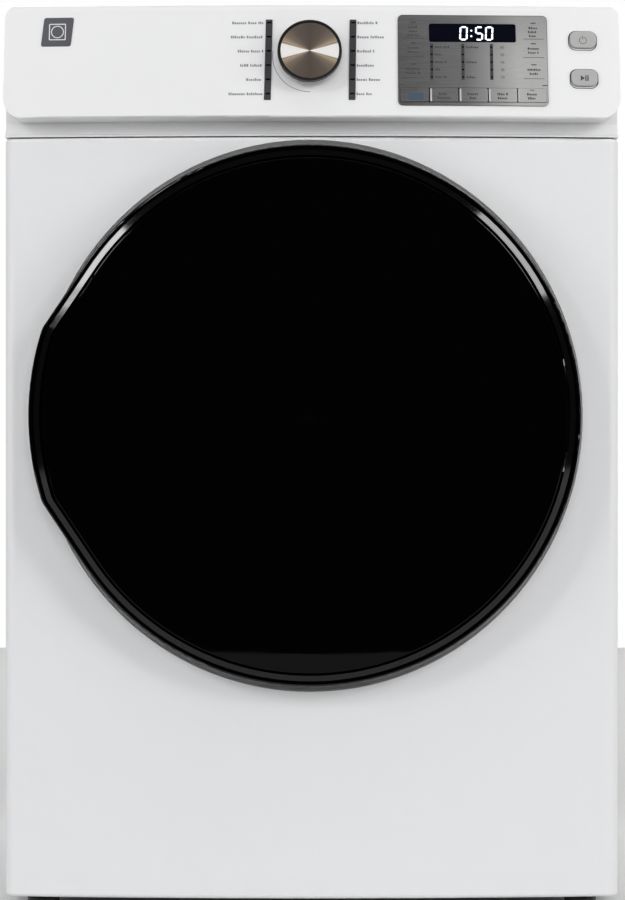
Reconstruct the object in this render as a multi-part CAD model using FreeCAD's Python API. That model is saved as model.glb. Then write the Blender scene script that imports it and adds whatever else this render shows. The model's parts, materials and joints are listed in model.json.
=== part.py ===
import FreeCAD, Part
import math
import os

from FreeCAD import Placement, Rotation, Vector

# Front-loading clothes dryer. Millimetres, +Z up. While it is drawn, Y is 0 at the crown of the
# front panel and grows towards the back; save() moves every piece so that the finished machine is
# centred on Y = 0 and stands on Z = 0.

# --- driving dimensions: cabinet -------------------------------------------------------------
WIDTH = 686.0
HALF = WIDTH / 2
FOOT_HEIGHT = 20.0           # the cabinet's underside above the floor
PANEL_TOP = 867.0            # top edge of the front panel
CONSOLE_BOTTOM = 868.5
CONSOLE_TOP = 1016.0
TOP_PANEL_Z = 1014.0
SIDE_TOP = 999.5
SHEET = 0.9                  # cabinet sheet steel
BEAD_DEPTH = 1.5             # depth of the stiffening beads in the sides
DRUM_WALL = 0.9
BOW_SAGITTA = 14.0           # the front is bowed forward by this much over its width
FRONT_RETURN = 41.5          # how far the front panel's edges fold back
SIDE_FRONT = 42.0            # front edge of the side panels
SIDE_BACK = 698.0            # and their back edge
CONSOLE_DEPTH = 60.0         # back edge of the console
BACK_Y = 699.4               # outside of the rear panel

# --- driving dimensions: drum and door -------------------------------------------------------
AXIS_X = -2.0
AXIS_Z = 557.0
DRUM_R = 325.0
DRUM_FRONT = 112.0
DRUM_BACK = 656.0
MOUTH_R = 216.2              # outside of the loading throat
MOUTH_FACE = 36.0            # the face that the door gasket closes on
MOUTH_BACK = 124.0
FRONT_BULKHEAD_Y = 50.0
REAR_BULKHEAD_Y = 668.0
REAR_DISC_Y = 640.0
REAR_DISC_R = 318.6

DOOR_R = 299.0
GRIP_R = 310.6               # the door's edge is drawn out to this radius at its grip
GRIP_HALF_ANGLE = 18.0
GRIP_BLEND_ANGLE = 33.0
DOOR_FRONT = -28.4           # the ring's highest edge, beside the pane
DOOR_BACK = -4.0
BAND_Y = -23.0               # face of the door's flat outer band
BAND_WIDTH = 6.5
BEVEL_WIDTH = 6.1            # the bead slopes from the pane's edge out to the band
BEVEL_FALL = 2.6
WINDOW_INSET = 14.0          # the pane's edge runs this far inside the door's edge
WINDOW_GAP = 1.0
WINDOW_CROWN = -48.0         # the front-most point of the whole machine
WINDOW_THICK = 4.0
DOME_FALL = 20.4             # how far the dome falls to its edge on the hinge side
DOME_ROLL = 3.0              # rounding of the dome's edge
DISH_R = 300.0
DISH_FLOOR = 15.0
DISH_EDGE = 5.5              # width of the dish's steep edge
OPENING_R = 250.0            # hole in the front panel
PLUG_R = 244.0               # the part of the door that enters that hole
HINGE_X = 284.0
HINGE_Y = -12.0
HINGE_PIN_R = 3.0
RUNNING = 0.06               # radial clearance of a pin that turns
HINGE_EAR_Z = (42.0, 50.0)   # ears lie this far above and below the axis height
HINGE_EAR_HALF = 4.0         # half the width of an ear
HINGE_HALF = 40.0            # half the height of the door's hinge knuckle
HINGE_ROOM = 64.0            # half the height of the door's pocket for the hinge
LATCH_X = -257.0
LATCH_Z = 660.0
LATCH_SLOT = (7.0, 12.0)     # half width and half height of the striker's slot

# --- driving dimensions: drive and air system ------------------------------------------------
MOTOR_X = 150.0
MOTOR_Z = 130.0
MOTOR_R = 62.0
SHAFT_R = 6.0
PULLEY_R = 14.0
BELT_Y = (320.0, 332.0)
BELT_GAP = 0.3
BELT_THICK = 2.0
IDLER_PIVOT = (90.0, 70.0)
IDLER_CENTRE = (77.0, 143.0)
IDLER_R = 20.0
SPRING_X = 120.0
ROLLER_R = 32.0
ROLLER_WIDTH = 22.0
ROLLER_ANGLE = 35.0          # each roller lies this far from straight below the axis
ROLLER_GAP = 0.4
AXLE_R = 8.0
DUCT_R = 50.8                # a nominal four-inch duct
DUCT_BORE = 49.4             # its inside, and the blower outlet
DUCT_X = 0.0
DUCT_Z = 103.0
DUCT_END = 735.0
COLLAR_LENGTH = 35.0         # the part that an exhaust hose slides over
FILTER_HALF = 110.0
FILTER_Y = (86.5, 97.5)
LINT_Y = (82.0, 102.0)
BLOWER_Y = (102.3, 176.0)
BLOWER_R = 92.0
WHEEL_R = 76.0
CORD_AT = (230.0, 838.0)     # (x, z) of the supply lead's bushing

# --- driving dimensions: console -------------------------------------------------------------
CONSOLE_UNDER = 886.0        # underside of the control face's lip
LIP_R = 2.2
FACE_LOW = (-19.2, CONSOLE_UNDER + LIP_R)    # (y, z) of the control face's lower edge
FACE_HIGH = (6.0, 1010.0)    # and of its upper edge
CONSOLE_WALL = 2.5
KNOB_AT = (-2.3, 956.0)
KNOB_R = 35.5
KNOB_NECK_R = 24.0           # the knob narrows to this behind its front ring
KNOB_RING = (12.6, 18.0)     # the front ring's back and front, above the control face
KNOB_CAP_R = 33.0
KNOB_CAP = (14.5, 17.0)
BUTTON_SIZE = (29.6, 19.4)
BUTTON_CORNER = 7.4
POWER_AT = (302.0, 975.8)
START_AT = (302.8, 932.0)
BUTTON_GAP = 0.4
PANEL_AT = (178.8, 951.3)
PANEL_SIZE = (165.8, 103.0)
PANEL_THICK = 1.5
PANEL_LAP = 0.7              # how far its edge laps over the console round its opening
WINDOW_AT = (178.6, 982.6)
WINDOW_SIZE = (96.7, 21.4)
WINDOW_CORNER = 2.4
KEY_COUNT = 5
KEY_PITCH = 32.6
KEY_SIZE = (31.6, 16.2)
KEY_Z = 911.2
BOARD_X = (90.0, 270.0)
BOARD_Y = 34.0
INDICATOR_AT = ((-48.2, 951.6), (45.2, 951.6))
INDICATOR_SIZE = (7.5, 94.0)
INDICATOR_LEAN = 1.0         # degrees, their tops lean to the right

# --- driving dimensions: feet ----------------------------------------------------------------
FOOT_X = 306.0
FOOT_Y = (70.0, 650.0)
FOOT_R = 18.0
STEM_R = 5.0

# --- derived values --------------------------------------------------------------------------
BOW_R = (HALF ** 2 + BOW_SAGITTA ** 2) / (2 * BOW_SAGITTA)
Y_SHIFT = -(WINDOW_CROWN + DUCT_END) / 2
FACE_TILT = math.atan2(FACE_HIGH[0] - FACE_LOW[0], FACE_HIGH[1] - FACE_LOW[1])
FAR = 900.0                  # longer than anything that it cuts


# --- drawing helpers -------------------------------------------------------------------------
def save(node, shape):
    """Move a piece to the machine's own frame and write it."""
    moved = shape.copy()
    moved.translate(Vector(0, Y_SHIFT, 0))
    moved.exportStep("parts/" + node + ".step")


def box(x, y, z):
    """A box from three (low, high) pairs."""
    size = (x[1] - x[0], y[1] - y[0], z[1] - z[0])
    return Part.makeBox(size[0], size[1], size[2], Vector(x[0], y[0], z[0]))


def rod(radius, x, z, y):
    """A cylinder along Y, from y[0] to y[1]."""
    return Part.makeCylinder(radius, y[1] - y[0], Vector(x, y[0], z), Vector(0, 1, 0))


def post(radius, x, y, z):
    """A cylinder along Z, from z[0] to z[1]."""
    return Part.makeCylinder(radius, z[1] - z[0], Vector(x, y, z[0]))


def ring(outer, inner, x, z, y):
    """A tube along Y."""
    return rod(outer, x, z, y).cut(rod(inner, x, z, (y[0] - 1, y[1] + 1)))


def disc(radius, y):
    """A cylinder about the drum's axis."""
    return rod(radius, AXIS_X, AXIS_Z, y)


def hoop(outer, inner, y):
    """A tube about the drum's axis."""
    return ring(outer, inner, AXIS_X, AXIS_Z, y)


def outline(steps, at):
    """A closed wire. steps are 2-D points; (mid, end) pairs of points are arcs. at maps 2-D to 3-D."""
    edges = []
    start = steps[0]
    for step in steps[1:] + [steps[0]]:
        if isinstance(step[0], tuple):
            mid, end = step
            edges.append(Part.Arc(at(*start), at(*mid), at(*end)).toShape())
            start = end
        elif math.dist(start, step) > 1e-6:
            edges.append(Part.LineSegment(at(*start), at(*step)).toShape())
            start = step
    return Part.Wire(edges)


def turned(steps):
    """A solid of revolution about the drum's axis. steps hold (radius, y)."""
    wire = outline(steps, lambda r, y: Vector(AXIS_X + r, y, AXIS_Z))
    return Part.Face(wire).revolve(Vector(AXIS_X, 0, AXIS_Z), Vector(0, 1, 0), 360)


def bowed(steps):
    """A solid that follows the front's bow, wider than the cabinet. steps hold (y, z)."""
    spread = math.degrees(math.asin(HALF / BOW_R)) + 1
    axis = Vector(0, BOW_R, 0)
    wire = outline(steps, lambda y, z: Vector(0, y, z))
    face = Part.Face(wire)
    face.rotate(axis, Vector(0, 0, 1), -spread)
    return face.revolve(axis, Vector(0, 0, 1), 2 * spread)


def rounded(x, z, width, height, radius, y):
    """A rounded rectangle in the front view, extruded from y[0] to y[1]."""
    solid = box((x - width / 2, x + width / 2), y, (z - height / 2, z + height / 2))
    return solid.makeFillet(radius, edges_along(solid, Vector(0, 1, 0)))


def edges_along(solid, direction):
    """The straight edges of a solid that run along a direction."""
    found = []
    for edge in solid.Edges:
        if isinstance(edge.Curve, Part.Line) and abs(edge.Curve.Direction.dot(direction)) > 0.999:
            found.append(edge)
    return found


def edges_at(solid, test):
    """The edges whose middle point passes a test."""
    found = []
    for edge in solid.Edges:
        if test(edge.valueAt((edge.FirstParameter + edge.LastParameter) / 2)):
            found.append(edge)
    return found


def polar(radius, angle):
    """(x, z) at an angle about the drum's axis, from +X towards +Z, in degrees."""
    turn = math.radians(angle)
    return (AXIS_X + radius * math.cos(turn), AXIS_Z + radius * math.sin(turn))


def face_frame(x, z):
    """The frame of a point of the control face: its Z is outward, its X along the width."""
    depth = FACE_LOW[0] + (z - FACE_LOW[1]) * math.tan(FACE_TILT)
    turn = math.asin(x / (BOW_R - depth))
    across = Vector(math.cos(turn), math.sin(turn), 0)
    outward = Vector(
        math.sin(turn) * math.cos(FACE_TILT),
        -math.cos(turn) * math.cos(FACE_TILT),
        math.sin(FACE_TILT),
    )
    origin = Vector(x, BOW_R - (BOW_R - depth) * math.cos(turn), z)
    return Placement(origin, Rotation(across, outward.cross(across), outward, "ZXY"))


def on_face(shape, at):
    """A shape drawn about the origin, set on the control face."""
    placed = shape.copy()
    placed.Placement = face_frame(*at).multiply(placed.Placement)
    return placed


def tile(size, radius, z):
    """A rounded rectangle about the origin, extruded from z[0] to z[1]."""
    solid = box((-size[0] / 2, size[0] / 2), (-size[1] / 2, size[1] / 2), z)
    return solid.makeFillet(radius, edges_along(solid, Vector(0, 0, 1)))


def face_band(low, high):
    """A bowed slab parallel to the control face, from low to high above it."""
    lean = Vector(-math.cos(FACE_TILT), math.sin(FACE_TILT), 0)
    corners = []
    for point, lift in ((FACE_LOW, low), (FACE_HIGH, low), (FACE_HIGH, high), (FACE_LOW, high)):
        corners.append((point[0] + lean.x * lift, point[1] + lean.y * lift))
    return bowed(corners)


# --- cabinet ---------------------------------------------------------------------------------
def front_blank(inset):
    """The front panel's outer form, or the same form a sheet's thickness inside it."""
    corner = 12.0 - inset
    low = FOOT_HEIGHT + inset
    high = PANEL_TOP - inset
    depth = FRONT_RETURN + 10 * inset
    solid = bowed([(inset, low), (inset, high), (2 * depth, high), (2 * depth, low)])
    solid = solid.common(box((-HALF + inset, HALF - inset), (-FAR, depth), (low, high)))
    front = edges_at(solid, lambda p: p.y < BOW_SAGITTA + 3 and abs(p.x) > HALF - inset - 1)
    solid = solid.makeFillet(corner, front)
    rims = edges_at(solid, lambda p: abs(p.x) < 1 and p.y < BOW_SAGITTA)
    return solid.makeFillet(4.5 - inset, rims)


def dish_cutter(wall):
    """The shallow dish behind the door; wall thickens it for the sheet's inner side."""
    floor = DISH_FLOOR + wall
    reach = DISH_R + wall
    slope = DISH_EDGE / DISH_FLOOR
    top = reach + slope * (floor + 10)
    foot = ((reach + 1.5, floor - 0.8), (reach - 3, floor))
    return turned([(0, -10), (top, -10), (reach + 4, floor - 3), foot, (0, floor)])


def front_panel():
    blank = front_blank(0)
    sheet = blank.cut(front_blank(SHEET))
    backing = dish_cutter(SHEET).common(blank)
    panel = sheet.fuse(backing).cut(dish_cutter(0))
    flange = hoop(OPENING_R + SHEET, OPENING_R, (DISH_FLOOR + SHEET / 2, MOUTH_FACE - 2))
    panel = panel.fuse(flange).cut(disc(OPENING_R, (-FAR, FAR)))
    return panel.cut(latch_slot(0, 40)).removeSplitter()


def latch_slot(low, high):
    """The slot that the door's striker enters, from y low to high."""
    x = (LATCH_X - LATCH_SLOT[0], LATCH_X + LATCH_SLOT[0])
    z = (LATCH_Z - LATCH_SLOT[1], LATCH_Z + LATCH_SLOT[1])
    return box(x, (low, high), z)


def side_panel(side):
    """side is -1 on the left and 1 on the right."""
    step = CONSOLE_DEPTH + 0.5
    corners = [
        (SIDE_FRONT, FOOT_HEIGHT), (SIDE_BACK, FOOT_HEIGHT), (SIDE_BACK, SIDE_TOP),
        (step, SIDE_TOP), (step, PANEL_TOP), (SIDE_FRONT, PANEL_TOP)]
    inner = side * (HALF - SHEET)
    wire = outline(corners, lambda y, z: Vector(inner, y, z))
    plate = Part.Face(wire).extrude(Vector(side * SHEET, 0, 0))
    flange_x = sorted((side * (HALF - 14), side * (HALF - SHEET / 2)))
    front_flange = box(flange_x, (SIDE_FRONT, SIDE_FRONT + SHEET), (FOOT_HEIGHT, PANEL_TOP))
    rear_flange = box(flange_x, (SIDE_BACK - SHEET, SIDE_BACK), (FOOT_HEIGHT, SIDE_TOP))
    plate = plate.fuse([front_flange, rear_flange])
    bead_x = sorted((side * (HALF - BEAD_DEPTH - SHEET), side * HALF))
    groove_x = sorted((side * (HALF - BEAD_DEPTH), side * (HALF + 1)))
    end_radius = 11
    for low in (150, 470, 790):
        high = low + 25
        bead = box(bead_x, (120, 620), (low, high))
        groove = box(groove_x, (120 + SHEET, 620 - SHEET), (low + SHEET, high - SHEET))
        bead = bead.makeFillet(end_radius, edges_along(bead, Vector(1, 0, 0)))
        groove = groove.makeFillet(end_radius - SHEET, edges_along(groove, Vector(1, 0, 0)))
        plate = plate.fuse(bead).cut(groove)
    return plate.removeSplitter()


def rear_panel():
    panel = box((-HALF, HALF), (BACK_Y - SHEET, BACK_Y), (FOOT_HEIGHT, SIDE_TOP))
    panel = panel.makeFillet(6, edges_along(panel, Vector(0, 1, 0)))
    holes = [rod(DUCT_R + 1.5, DUCT_X, DUCT_Z, (690, 710)), rod(14.0, *CORD_AT, (690, 710))]
    for row in range(7):
        for column in range(9):
            x = -236 + 24 * column
            z = 560 + 16 * row
            holes.append(box((x, x + 18), (690, 710), (z, z + 5)))
    bead = box((-300, 300), (BACK_Y - 3 - SHEET, BACK_Y), (200, 216))
    groove = box((-300 + SHEET, 300 - SHEET), (BACK_Y - 3, BACK_Y + 1), (200 + SHEET, 216 - SHEET))
    upper = Vector(0, 0, 580)
    for lift in (Vector(), upper):
        panel = panel.fuse(bead.translated(lift)).cut(groove.translated(lift))
    return panel.cut(holes).removeSplitter()


def base_pan():
    wall = 1.5
    x = (-HALF + SHEET + 0.3, HALF - SHEET - 0.3)
    y = (SIDE_FRONT + 2, SIDE_BACK - 2)
    pan = box(x, y, (FOOT_HEIGHT, 50))
    hollow = box((x[0] + wall, x[1] - wall), (y[0] + wall, y[1] - wall), (FOOT_HEIGHT + wall, 60))
    pan = pan.cut(hollow)
    for foot_x in (-FOOT_X, FOOT_X):
        for foot_y in FOOT_Y:
            boss = post(14, foot_x, foot_y, (FOOT_HEIGHT + 1, 34))
            pan = pan.fuse(boss).cut(post(STEM_R + 0.3, foot_x, foot_y, (0, 60)))
    return pan.removeSplitter()


def top_panel():
    y = (CONSOLE_DEPTH + 0.5, 701)
    inside_x = (-HALF + SHEET, HALF - SHEET)
    inside_y = (y[0] + SHEET, y[1] - SHEET)
    lid = box((-HALF, HALF), y, (SIDE_TOP + 0.3, TOP_PANEL_Z))
    hollow = box(inside_x, inside_y, (SIDE_TOP - 5, TOP_PANEL_Z - SHEET))
    edge_radius = 5
    rim = edges_at(lid, lambda p: p.z > TOP_PANEL_Z - 0.1)
    inner_rim = edges_at(hollow, lambda p: p.z > TOP_PANEL_Z - SHEET - 0.1)
    lid = lid.makeFillet(edge_radius, rim)
    return lid.cut(hollow.makeFillet(edge_radius - SHEET, inner_rim))


# --- console ---------------------------------------------------------------------------------
def console_form(wall):
    """The console's outer form, or the same form one wall inside it."""
    half = HALF - wall
    under = CONSOLE_UNDER + wall
    rise = wall * math.tan(FACE_TILT)
    lip = (FACE_LOW[0] + wall + rise, under + LIP_R)
    brow = (FACE_HIGH[0] + wall, FACE_HIGH[1] - wall / 2)
    top = CONSOLE_TOP - wall
    back = CONSOLE_DEPTH + 10 * wall
    deep = 2 * back
    brow_arc = ((brow[0] + 2.4, brow[1] + 3.6 - wall / 2), brow)
    lip_arc = ((lip[0] + 0.3 * LIP_R, under + 0.3 * LIP_R), (lip[0] + LIP_R, under))
    main = bowed([(deep, top), (brow[0] + 8, top), brow_arc, lip, lip_arc, (deep, under)])
    corner_top = 14.0 - wall
    corner_low = 25.0 - wall
    margin = 0.5
    plate = box((-half, half), (-FAR, back), (under - margin, top + margin))
    upper = edges_at(plate, lambda p: p.z > top and abs(p.x) > half - 0.1)
    plate = plate.makeFillet(corner_top, upper)
    lower = edges_at(plate, lambda p: p.z < under and abs(p.x) > half - 0.1)
    main = main.common(plate.makeFillet(corner_low, lower))
    low = CONSOLE_BOTTOM + wall
    inside = 930
    cove = ((8.5 + wall, 875), (2.5 + wall, low))
    neck = bowed([(12 + wall, inside), (12 + wall, 884), cove, (deep, low), (deep, inside)])
    neck = neck.common(box((-half, half), (-FAR, back), (low, inside)))
    return main.fuse(neck)


def console_fascia():
    shell = console_form(0).cut(console_form(CONSOLE_WALL))
    cuts = [on_face(Part.makeCylinder(7, 60, Vector(0, 0, -30)), KNOB_AT)]
    hole = (BUTTON_SIZE[0] + 2 * BUTTON_GAP, BUTTON_SIZE[1] + 2 * BUTTON_GAP)
    for at in (POWER_AT, START_AT):
        cuts.append(on_face(tile(hole, BUTTON_CORNER + BUTTON_GAP, (-12, 12)), at))
    opening = (PANEL_SIZE[0] - 2 * PANEL_LAP, PANEL_SIZE[1] - 2 * PANEL_LAP)
    cuts.append(on_face(tile(opening, 4, (-12, 12)), PANEL_AT))
    bosses = []
    for x in (BOARD_X[0] + 3, BOARD_X[1] - 3):
        for z in (915, 985):
            bosses.append(rod(3, x, z, (-30, BOARD_Y - 0.2)).common(console_form(1)))
    return shell.cut(cuts).fuse(bosses)


def display_panel():
    plate = face_band(0, PANEL_THICK).common(rounded(*PANEL_AT, *PANEL_SIZE, 5, (-FAR, FAR)))
    slot = (KEY_COUNT * KEY_PITCH + 2 * BUTTON_GAP - 1, KEY_SIZE[1] + 2 * BUTTON_GAP)
    plate = plate.cut(on_face(tile(slot, 2, (-12, 12)), (PANEL_AT[0], KEY_Z)))
    window = (WINDOW_SIZE[0] + 0.4, WINDOW_SIZE[1] + 0.4)
    return plate.cut(on_face(tile(window, WINDOW_CORNER + 0.2, (-12, 12)), WINDOW_AT))


def display_window():
    lens = face_band(-1.5, PANEL_THICK - 0.3)
    return lens.common(on_face(tile(WINDOW_SIZE, WINDOW_CORNER, (-12, 12)), WINDOW_AT))


def option_key(index):
    x = PANEL_AT[0] + (index - (KEY_COUNT - 1) / 2) * KEY_PITCH
    key = tile(KEY_SIZE, 1.5, (-4, 2.2))
    top = edges_at(key, lambda p: p.z > 2.1)
    return on_face(key.makeFillet(0.7, top), (x, KEY_Z))


def push_button(at):
    button = tile(BUTTON_SIZE, BUTTON_CORNER, (-9, 3))
    rim = edges_at(button, lambda p: p.z > 2.9)
    return on_face(button.makeFillet(1.2, rim), at)


def cycle_indicators():
    strips = []
    for at in INDICATOR_AT:
        slab = face_band(0, 0.8)
        blade = tile(INDICATOR_SIZE, 0.6, (-12, 12))
        blade.rotate(Vector(), Vector(0, 0, 1), -INDICATOR_LEAN)
        strips.append(slab.common(on_face(blade, at)))
    return Part.makeCompound(strips)


def knob_body():
    """A ring on a flared neck, with a seat for the cap and a stem through the console."""
    low, high = KNOB_RING
    gap = 1.2
    neck = Part.makeCone(KNOB_NECK_R, KNOB_R - 1.5, low - gap + 0.1, Vector(0, 0, gap))
    front = Part.makeCylinder(KNOB_R, high - low, Vector(0, 0, low))
    rims = edges_at(front, lambda p: p.z > high - 0.1)
    front = front.makeFillet(0.8, rims)
    seat = Part.makeCylinder(KNOB_CAP_R + 0.2, 6, Vector(0, 0, KNOB_CAP[0]))
    stem = Part.makeCylinder(6, 30, Vector(0, 0, -24))
    return on_face(front.fuse([neck, stem]).cut(seat), KNOB_AT)


def knob_cap():
    cap = Part.makeCylinder(KNOB_CAP_R, KNOB_CAP[1] - KNOB_CAP[0], Vector(0, 0, KNOB_CAP[0]))
    rim = edges_at(cap, lambda p: p.z > KNOB_CAP[1] - 0.1)
    return on_face(cap.makeFillet(0.6, rim), KNOB_AT)


def control_board():
    board = box(BOARD_X, (BOARD_Y, BOARD_Y + 1.6), (898, 1000))
    relay = box((110, 140), (35.6, 53), (910, 930))
    transformer = box((200, 245), (35.6, 56), (915, 955))
    connector = box((150, 190), (35.6, 46), (975, 988))
    knob_switch = box((-22, 18), (22, 34), (940, 980))
    carrier = box((-22, 90), (34, 35.6), (936, 984))
    return board.fuse([relay, transformer, connector, carrier, knob_switch])


# --- drum ------------------------------------------------------------------------------------
def drum_shell():
    wall = DRUM_WALL
    front = hoop(DRUM_R, 228, (DRUM_FRONT, DRUM_FRONT + wall))
    lip = hoop(228 + wall, 228, (DRUM_FRONT, DRUM_FRONT + 10))
    shell = hoop(DRUM_R, DRUM_R - wall, (DRUM_FRONT, DRUM_BACK))
    return front.fuse([lip, shell]).removeSplitter()


def drum_baffles():
    """Three hollow vanes, each as wide as a hand at its foot and narrow at its crest."""
    foot = DRUM_R - DRUM_WALL
    vanes = []
    wall = 3
    for angle in (90, 210, 330):
        outer = vane(foot - 0.3, 38, 11, 78, (160, 600))
        inner = vane(foot - 0.3, 38 - wall, 11 - wall, 78 - wall, (160 + wall, 600 - wall))
        trough = inner.fuse(inner.translated(Vector(0, 0, 6)))
        hollow = outer.cut(trough)
        hollow.rotate(Vector(AXIS_X, 0, AXIS_Z), Vector(0, -1, 0), angle - 90)
        vanes.append(hollow)
    return Part.makeCompound(vanes)


def vane(foot, half_foot, half_crest, height, y):
    """A solid ridge on the inside of a cylinder, at the drum's top."""
    top = AXIS_Z + foot + 2
    crest = AXIS_Z + foot - height
    nose = ((AXIS_X, crest - 1), (AXIS_X + half_crest, crest + 8))
    flank = (AXIS_X - half_crest, crest + 8)
    corners = [(AXIS_X - half_foot, top), flank, nose, (AXIS_X + half_foot, top)]
    wire = outline(corners, lambda x, z: Vector(x, y[0], z))
    ridge = Part.Face(wire).extrude(Vector(0, y[1] - y[0], 0))
    return ridge.common(disc(foot, (y[0] - 1, y[1] + 1)))


def bulkhead_plate(y):
    return box((-HALF + 5, HALF - 5), (y, y + SHEET), (235, 860))


def front_bulkhead():
    """The plate with its sunk gasket face, and the loading throat welded to the back of that."""
    face = FRONT_BULKHEAD_Y
    back = MOUTH_FACE + SHEET
    inner = MOUTH_R - SHEET
    sunk = turned([
        (264, face), (264, face + SHEET), (262, face + SHEET), (262, back),
        (inner, back), (inner, MOUTH_FACE), (263.2, MOUTH_FACE), (263.2, face)])
    half = FILTER_HALF + 3.5
    slot_y = (LINT_Y[0] + 2, LINT_Y[1] - 2)
    slot = box((AXIS_X - half, AXIS_X + half), slot_y, (AXIS_Z - 230, AXIS_Z - 120))
    plate = bulkhead_plate(face).cut(disc(263.5, (0, 100))).fuse(sunk).removeSplitter()
    throat = hoop(MOUTH_R, inner, (back, MOUTH_BACK)).cut(slot)
    return Part.makeCompound([plate, throat])


def rear_bulkhead():
    plate = bulkhead_plate(REAR_BULKHEAD_Y).cut(disc(REAR_DISC_R - 2, (0, FAR)))
    rim = REAR_BULKHEAD_Y + SHEET
    inside = REAR_DISC_R - SHEET
    pan = turned([
        (0, REAR_DISC_Y), (REAR_DISC_R, REAR_DISC_Y), (REAR_DISC_R, rim),
        (inside, rim), (inside, REAR_DISC_Y + SHEET), (0, REAR_DISC_Y + SHEET)])
    holes = []
    for radius, count in ((150, 18), (170, 22), (190, 24), (210, 26)):
        for index in range(count):
            x, z = polar(radius, -60 + 120 * index / (count - 1))
            holes.append(rod(4.5, x, z, (600, 700)))
    return plate.fuse(pan).cut(holes).removeSplitter()


def felt_seals():
    front = hoop(227.4, MOUTH_R + 0.2, (105, 123))
    rear = hoop(DRUM_R - 1.6, REAR_DISC_R + 0.2, (642, 664))
    return Part.makeCompound([front, rear])


def roller_places():
    """(name, x, z, y of the roller's middle) of the four support rollers."""
    reach = DRUM_R + ROLLER_R + ROLLER_GAP
    places = []
    for end, y in (("front", 151.0), ("rear", 621.0)):
        for hand, sign in (("left", -1), ("right", 1)):
            x, z = polar(reach, -90 + sign * ROLLER_ANGLE)
            places.append((end + "_" + hand, x, z, y))
    return places


def support_roller(x, z, y):
    half = ROLLER_WIDTH / 2
    wheel = ring(ROLLER_R, AXLE_R + RUNNING, x, z, (y - half, y + half))
    crown = edges_at(wheel, lambda p: math.dist((p.x, p.z), (x, z)) > ROLLER_R - 0.1)
    wheel = wheel.makeFillet(2, crown)
    for side in (-half, half - 4):
        wheel = wheel.cut(ring(ROLLER_R - 7, AXLE_R + 5, x, z, (y + side, y + side + 4)))
    return wheel


def roller_axles():
    axles = []
    for end, x, z, y in roller_places():
        half = ROLLER_WIDTH / 2
        if end.startswith("front"):
            root, tip, clip = FRONT_BULKHEAD_Y + SHEET, y + half + 5, y + half + 1
            collar = y - half - 4
        else:
            root, tip, clip = REAR_BULKHEAD_Y, y - half - 5, y - half - 3
            collar = y + half + 1
        axle = rod(AXLE_R, x, z, sorted((root, tip)))
        washer = rod(AXLE_R + 4, x, z, (clip, clip + 2))
        shoulder = rod(AXLE_R + 4, x, z, (collar, collar + 3))
        foot = rod(AXLE_R + 9, x, z, sorted((root, root + math.copysign(4, tip - root))))
        axles.append(axle.fuse([washer, shoulder, foot]))
    return Part.makeCompound(axles)


# --- drive -----------------------------------------------------------------------------------
def belt_loop(grow):
    """The belt's closed path, moved outward by grow. Its three circles are passed in turn."""
    middle = BELT_GAP + BELT_THICK / 2
    circles = [(AXIS_X, AXIS_Z, DRUM_R + middle + grow),
               (IDLER_CENTRE[0], IDLER_CENTRE[1], -(IDLER_R + middle - grow)),
               (MOTOR_X, MOTOR_Z, PULLEY_R + middle + grow)]
    headings = []
    for here, there in zip(circles, circles[1:] + circles[:1]):
        span = (there[0] - here[0], there[1] - here[1])
        lean = math.asin((there[2] - here[2]) / math.hypot(*span))
        headings.append(math.degrees(math.atan2(span[1], span[0]) - lean))
    edges = []
    joints = []
    for index, (x, z, radius) in enumerate(circles):
        arrive = headings[index - 1]
        leave = headings[index]
        sign = math.copysign(1, radius)
        sweep = sign * ((sign * (leave - arrive)) % 360)
        angles = [arrive - 90 * sign + sweep * share for share in (0, 0.5, 1)]
        points = []
        for angle in angles:
            turn = math.radians(angle)
            points.append(Vector(x + abs(radius) * math.cos(turn), 0, z + abs(radius) * math.sin(turn)))
        joints.append((points[0], points[2]))
        edges.append(Part.Arc(*points).toShape())
    for index in range(len(joints)):
        edges.append(Part.LineSegment(joints[index][1], joints[(index + 1) % len(joints)][0]).toShape())
    return Part.Wire(Part.__sortEdges__(edges))


def drive_belt():
    outer = Part.Face(belt_loop(BELT_THICK / 2))
    inner = Part.Face(belt_loop(-BELT_THICK / 2))
    band = outer.cut(inner).extrude(Vector(0, BELT_Y[1] - BELT_Y[0], 0))
    return band.translated(Vector(0, BELT_Y[0], 0))


def motor_housing():
    can = rod(MOTOR_R, MOTOR_X, MOTOR_Z, (186, 296))
    ends = edges_at(can, lambda p: math.dist((p.x, p.z), (MOTOR_X, MOTOR_Z)) > MOTOR_R - 0.1 and p.y != 241)
    can = can.makeFillet(8, [edge for edge in ends if isinstance(edge.Curve, Part.Circle)])
    can = can.cut(rod(MOTOR_R - 12, MOTOR_X, MOTOR_Z, (194, 288)))
    return can.cut(rod(SHAFT_R + RUNNING, MOTOR_X, MOTOR_Z, (180, 300)))


def motor_shaft():
    shaft = rod(SHAFT_R, MOTOR_X, MOTOR_Z, (118, 340))
    pulley = rod(PULLEY_R, MOTOR_X, MOTOR_Z, (BELT_Y[0] - 1, BELT_Y[1] + 1))
    for y in (BELT_Y[0] - 3, BELT_Y[1] + 1):
        pulley = pulley.fuse(rod(PULLEY_R + 4, MOTOR_X, MOTOR_Z, (y, y + 2)))
    return shaft.fuse(pulley)


def motor_bracket():
    foot = box((74, 214), (186, 330), (21.8, 24))
    parts = [foot]
    for y in (200, 280):
        cradle = box((MOTOR_X - 50, MOTOR_X + 50), (y, y + 3), (23, MOTOR_Z - 20))
        parts.append(cradle.cut(rod(MOTOR_R + 0.2, MOTOR_X, MOTOR_Z, (100, 400))))
    x, z = IDLER_PIVOT
    parts.append(box((x - 14, x + 14), (300, 303), (23, z + 14)))
    parts.append(rod(4, x, z, (302, 313)))
    return parts[0].fuse(parts[1:])


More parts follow.
